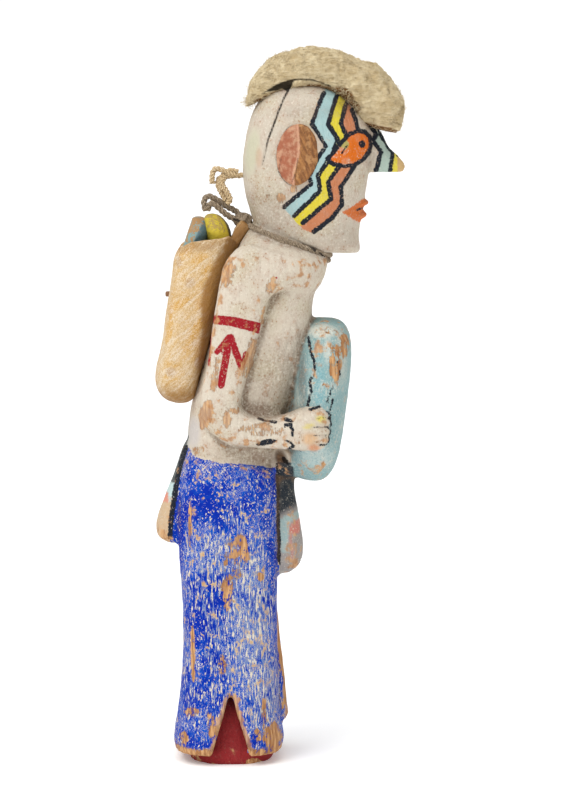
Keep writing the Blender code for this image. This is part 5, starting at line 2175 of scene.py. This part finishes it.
@dataclass
class Strings:
    """Twisted neck cord with its knot and loops, and the frayed tie at the head's back."""

    cord_radius: float = 1.15
    string_radius: float = 1.25
    tie_radius: float = 1.15
    noise: Noise = field(default_factory=lambda: Noise(71))

    def build(self) -> Dict[str, Obj]:
        """Builds the neck cord and the head tie, by node name.

        Returns:
            The pieces by node name.
        """
        dark = Twine("dusty_twine", tint(176, 158, 134), tint(96, 80, 62), tint(208, 194, 172))
        pale = Twine("pale_twine", tint(226, 204, 164), tint(162, 132, 92), tint(240, 226, 198))
        return {"neck_cord": self.neck(dark), "head_tie": self.tie(pale)}

    def neck(self, finish: "Twine") -> Obj:
        """Cord round the neck, knot and the doubled string to the bag.

        Args:
            finish: what the piece is finished with.

        Returns:
            The finished piece.
        """
        ring = self.neck_path()
        lower = ring.copy()
        front = 1.0 - smoothstep(-30.0, -12.0, ring[:, 1])
        lower[:, 2] -= 2.1 * front
        lower[:, 1] += 0.5 * front
        pieces = [self.plies(ring, self.cord_radius, 2.6, True),
                  self.plies(lower, self.cord_radius * 0.85, 2.6, True)]
        loops = (((0.6, -5.0, 211.6), (0.8, -2.2, 214.9), (0.8, 1.4, 216.9), (0.8, 6.0, 219.9),
                  (0.6, 8.8, 220.9), (0.4, 10.3, 219.4), (0.2, 10.2, 217.2), (0.0, 9.8, 215.2)),
                 ((-1.2, -5.0, 211.0), (-1.4, -1.2, 212.3), (-1.6, 1.6, 213.9),
                  (-1.6, 4.4, 216.3), (-1.4, 6.9, 218.2), (-0.6, 8.4, 217.6),
                  (-0.2, 8.9, 215.4)))
        for loop in loops:
            pieces.append(self.plies(curve(loop, 60), self.string_radius, 3.0, False))
        pieces.append(self.knot((0.0, -4.8, 211.6), (3.2, 3.6, 2.8)))
        cord = self.finished("neck_cord_twine", pieces, finish)
        uv = SHEET.project(vertices(cord.data))
        # painted shadow between the cord's strands and round the knot
        shadow_strokes = (Stroke(((300, 241), (305, 244)), 2.6), Stroke(((310, 246), (315, 250)), 3.0),
                 Stroke(((320, 253), (324, 257)), 2.0), Stroke(((283, 234), (289, 237)), 1.6),
                 Stroke(((262, 224), (276, 230)), 1.2), Stroke(((234, 219), (241, 222), (247, 226)),
                                                               2.4))
        put_field(cord.data, "gap", nearest_ink(shadow_strokes, uv))
        return cord

    def tie(self, finish: "Twine") -> Obj:
        """Frayed tie of the head's back.

        Args:
            finish: what the piece is finished with.

        Returns:
            The finished piece.
        """
        strands = (((0.0, -6.0, 229.6), (0.0, -3.0, 229.0), (-0.6, -0.4, 229.4),
                    (-1.0, 3.2, 231.2), (-0.6, 6.0, 231.6), (-0.4, 7.1, 229.6),
                    (-0.6, 7.2, 225.8)),
                   ((0.4, -3.0, 230.4), (0.2, 0.4, 230.9), (-0.2, 2.9, 229.2),
                    (-0.8, 4.1, 226.6), (-1.4, 3.0, 223.4)),
                   ((0.0, -1.6, 229.0), (-0.4, 2.0, 228.4), (-1.2, 3.2, 226.0),
                    (-2.0, 1.4, 222.6), (-2.8, 0.2, 219.8), (-3.0, 1.4, 218.0)),
                   ((0.4, 1.6, 228.8), (0.6, 4.6, 227.6), (0.2, 4.8, 225.0),
                    (-0.4, 3.2, 221.8), (-1.2, 1.8, 219.2)))
        pieces = [self.plies(curve(strand, 50), self.tie_radius, 2.4, False) for strand in strands]
        tie = self.finished("head_tie_twine", pieces, finish)
        put_field(tie.data, "gap", np.full(len(tie.data.vertices), FAR))
        return tie

    def neck_path(self) -> Array:
        """Closed ring of the neck cord: a superellipse in the leaning plane of the neck.

        Returns:
            n by 3 places in millimetres.
        """
        rear, front = np.array([-8.0, 209.6]), np.array([-38.0, 198.4])
        middle, half = (rear + front) / 2.0, (rear - front) / 2.0
        depth = np.linalg.norm(half)
        grow = self.cord_radius * 0.7
        angle = circle(240)[0]
        along = (depth + grow) * signed_power(np.sin(angle), 2.0 / 2.2)
        path = np.empty((240, 3))
        path[:, 0] = (16.2 + grow) * signed_power(np.cos(angle), 2.0 / 2.2)
        path[:, 1] = middle[0] + half[0] / depth * along
        path[:, 2] = middle[1] + half[1] / depth * along
        return path

    def plies(self, path: Array, radius: float, pitch: float, closed: bool) -> Obj:
        """Three plies wound round a path.

        A ply's centre is path + 0.50 r (cos a N + sin a B), with a turning once in pitch times
        1.6 radii, and its tube has the radius 0.52 r.

        Args:
            path: n by 3 places along the string.
            radius: the string's radius.
            pitch: how far apart the turns lie.
            closed: whether the path is a ring.

        Returns:
            The closed plies in one object.
        """
        steps = np.linalg.norm(np.diff(path, axis=0), axis=1)
        run = np.concatenate([[0.0], np.cumsum(steps)])
        turns = max(round(run[-1] / (pitch * radius * 1.6)), 2)
        tangent, first, second = frames(path, closed)
        verts, faces, start = [], [], 0
        count, sides = len(path), 10
        around = circle(sides)[:, :, None]
        for ply in range(3):
            angle = 2.0 * math.pi * (turns * run / run[-1] + ply / 3.0)
            if closed:
                angle *= (count - 1) / count
            centre = path + 0.50 * radius * (np.cos(angle)[:, None] * first
                                             + np.sin(angle)[:, None] * second)
            tube = centre[:, None, :] + 0.52 * radius * (np.cos(around) * first[:, None, :]
                                                         + np.sin(around) * second[:, None, :])
            verts.append(tube.reshape(-1, 3))
            quads = grid_faces(count, sides, start).tolist()
            if closed:
                last = start + (count - 1) * sides
                quads += [[last + k, last + (k + 1) % sides, start + (k + 1) % sides,
                           start + k] for k in range(sides)]
            else:
                quads.append([start + k for k in range(sides - 1, -1, -1)])
                quads.append([start + (count - 1) * sides + k for k in range(sides)])
            faces += quads
            start += count * sides
        return solid("plies", np.concatenate(verts) * MM, faces)

    def knot(self, centre: Point3,
             radii: Point3) -> Obj:
        """Lumpy knot: an ellipsoid with wound ridges 1 + 0.09 sin(5 theta + 6 phi).

        Args:
            centre: the middle.
            radii: half size along each direction.

        Returns:
            The closed form.
        """
        turn = np.linspace(0.06, math.pi - 0.06, 40)[:, None]
        angle = circle(64)
        swell = 1.0 + 0.09 * np.sin(5.0 * turn + 6.0 * angle)
        return closed_skin("knot", lattice(
            centre[0] + radii[0] * swell * np.sin(turn) * np.cos(angle),
            centre[1] + radii[1] * swell * np.sin(turn) * np.sin(angle),
            centre[2] + radii[2] * swell * np.cos(turn)))

    def finished(self, name: str, pieces: List[Obj],
                 finish: "Twine") -> Obj:
        """Joins the pieces and gives them their twine."""
        return coat(join(name, pieces), finish.material())


def curve(knots: Sequence[Sequence[float]], count: int) -> Array:
    """Even points on a Catmull-Rom curve through knots in space.

    Args:
        knots: places that the curve passes.
        count: how many points.

    Returns:
        count by 3 array.
    """
    rows = np.array(knots, dtype=float)
    padded = np.concatenate([rows, rows], axis=1)
    return spline(padded, count)[:, :3]


def frames(path: Array, closed: bool) -> Tuple[Array, Array, Array]:
    """Directions along and across a path, the across ones carried on without twist.

    Args:
        path: n by 3 places along the string.
        closed: whether the path is a ring.

    Returns:
        The tangents and two directions across, each n by 3.
    """
    if closed:
        tangent = np.roll(path, -1, axis=0) - np.roll(path, 1, axis=0)
    else:
        tangent = np.gradient(path, axis=0)
    tangent = unit(tangent)
    first = np.empty_like(path)
    guide = np.array([1.0, 0.0, 0.0])
    if abs(tangent[0] @ guide) > 0.8:
        guide = np.array([0.0, 0.0, 1.0])
    for index, along in enumerate(tangent):
        guide = guide - along * (guide @ along)
        guide /= np.linalg.norm(guide)
        first[index] = guide
    return tangent, first, np.cross(tangent, first)


@dataclass(frozen=True)
class Twine:
    """Old plant twine with frayed, dusty fibres."""

    name: str
    light: Colour
    dark: Colour
    dust: Colour

    def material(self) -> Material:
        """Fibrous twine.

        Returns:
            The material.
        """
        tree = Tree(self.name)
        step, mix = tree.step, tree.mix
        fibre = tree.noise(2400.0, 3.0, 0.6)
        cloud = tree.noise(300.0, 3.0, 0.6)
        colour = mix(step(0.3, 0.7, fibre), self.dark, self.light)
        colour = mix(step(0.58, 0.72, cloud) * 0.6, colour, self.dust)
        # painted shadow between the plies and beside the knot
        gap = step(0.5, -0.5, tree.field("gap") + (cloud - 0.5) * 2.0)
        colour = mix(gap * 0.9, colour, tint(34, 26, 20))
        return tree.finish(colour, 0.9, tree.bump(fibre, 0.0004, 1.0))


# the setting


@dataclass
class Studio:
    """White sweep, soft lamps and the camera of the side drawing."""

    half_width: float = 60.0

    def build(self) -> None:
        """Makes the floor, the world, the lamps and the camera."""
        self.floor()
        self.world()
        self.lamp("key", (-1.3, 0.9, 1.5), 0.8, 13.0)
        self.sun(1.35)
        self.camera()
        bpy.context.scene.view_settings.view_transform = "Standard"

    def floor(self) -> None:
        """Plain white floor."""
        size = self.half_width
        points = np.array([(-size, -size, 0.0), (size, -size, 0.0), (size, size, 0.0), (-size, size,
                                                                                        0.0)])
        floor = link("floor", build_mesh("floor", points, [[0, 1, 2, 3]]))
        tree = Tree("floor_white")
        material = tree.finish(tint(253, 253, 253), 0.9)
        tree.shader.inputs["Emission Color"].default_value = (1.0, 1.0, 1.0, 1.0)
        tree.shader.inputs["Emission Strength"].default_value = 0.16
        floor.data.materials.append(material)

    def world(self) -> None:
        """Even white surroundings."""
        world = bpy.data.worlds.new("white")
        world.use_nodes = True
        nodes, links = world.node_tree.nodes, world.node_tree.links
        back = nodes["Background"]
        back.inputs["Color"].default_value = (1.0, 1.0, 1.0, 1.0)
        place = nodes.new("ShaderNodeTexCoord")
        split = nodes.new("ShaderNodeSeparateXYZ")
        rise = nodes.new("ShaderNodeMapRange")
        for name, value in (("From Min", 0.02), ("From Max", 0.12), ("To Min", 1.05),
                            ("To Max", 0.62)):
            rise.inputs[name].default_value = value
        links.new(place.outputs["Generated"], split.inputs[0])
        links.new(split.outputs["Z"], rise.inputs["Value"])
        links.new(rise.outputs["Result"], back.inputs["Strength"])
        bpy.context.scene.world = world

    def sun(self, power: float) -> None:
        """Broad light from almost straight above, which evens out the floor.

        Args:
            power: power of the light.
        """
        data = bpy.data.lights.new("overhead", "SUN")
        data.energy = power
        data.angle = math.radians(60.0)
        lamp = link("overhead", data)
        lamp.rotation_euler = (math.radians(-12.0), math.radians(-14.0), 0.0)

    def lamp(self, name: str, place: Point3, size: float,
             power: float) -> None:
        """Square lamp that looks at the doll.

        Args:
            name: name of what is made.
            place: place of the lamp.
            size: side of the lamp.
            power: power of the light.
        """
        data = bpy.data.lights.new(name, "AREA")
        data.size = size
        data.energy = power
        lamp = link(name, data)
        lamp.location = place
        self.aim(lamp, SHEET.target)

    def camera(self) -> None:
        """Camera at the side drawing's eye."""
        data = bpy.data.cameras.new("camera")
        data.lens = SHEET.lens
        data.sensor_width = 36.0
        data.clip_end = 50.0
        camera = link("camera", data)
        camera.location = SHEET.eye.tolist()
        self.aim(camera, SHEET.target)
        bpy.context.scene.camera = camera

    @staticmethod
    def aim(obj: Obj, target: Point3) -> None:
        """Turns a lamp or camera to a point.

        Args:
            obj: lamp or camera.
            target: place to look at.
        """
        away = np.array(target) - np.array(obj.location)
        flat = math.hypot(away[0], away[1])
        obj.rotation_euler = (math.pi / 2.0 + math.atan2(away[2], flat), 0.0,
                              math.atan2(away[1], away[0]) - math.pi / 2.0)


class Slot(Enum):
    """Material slots of the part's nodes."""

    FIGURE = ("figure", "figure")
    EAR_RIGHT = ("ear_right", "ears")
    EAR_LEFT = ("ear_left", "ears")
    BAG = ("bag", "bag")
    LUMP_BLUE = ("lump_blue", "lump_blue")
    LUMP_YELLOW = ("lump_yellow", "lump_yellow")
    BAG_PEG = ("bag_peg", "peg")
    FLEECE = ("fleece", "fleece")
    NECK_CORD = ("neck_cord", "string")
    HEAD_TIE = ("head_tie", "string")

    def place(self, piece: Obj) -> None:
        """Attaches a piece to the root body, hides the part's node it stands for and logs it with its
        slot's name.

        Args:
            piece: the finished piece.
        """
        node, slot = self.value
        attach(piece, "root")
        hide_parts(node)
        log.info("%s: %d points, %d faces, slot %s", piece.name, len(piece.data.vertices),
                 len(piece.data.polygons), slot)


def main() -> None:
    """Builds the doll and its setting."""
    logging.basicConfig(level=logging.INFO, format="%(name)s %(message)s")
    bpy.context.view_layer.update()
    Slot.FIGURE.place(Figure().build())
    right, left = Ears().build()
    Slot.EAR_RIGHT.place(right)
    Slot.EAR_LEFT.place(left)
    pouch = Pouch().build()
    Slot.BAG.place(pouch["bag"])
    Slot.LUMP_BLUE.place(pouch["lump_blue"])
    Slot.LUMP_YELLOW.place(pouch["lump_yellow"])
    Slot.BAG_PEG.place(pouch["bag_peg"])
    Slot.FLEECE.place(Fleece().build())
    strings = Strings().build()
    Slot.NECK_CORD.place(strings["neck_cord"])
    Slot.HEAD_TIE.place(strings["head_tie"])
    Studio().build()


if __name__ == "__main__":
    main()
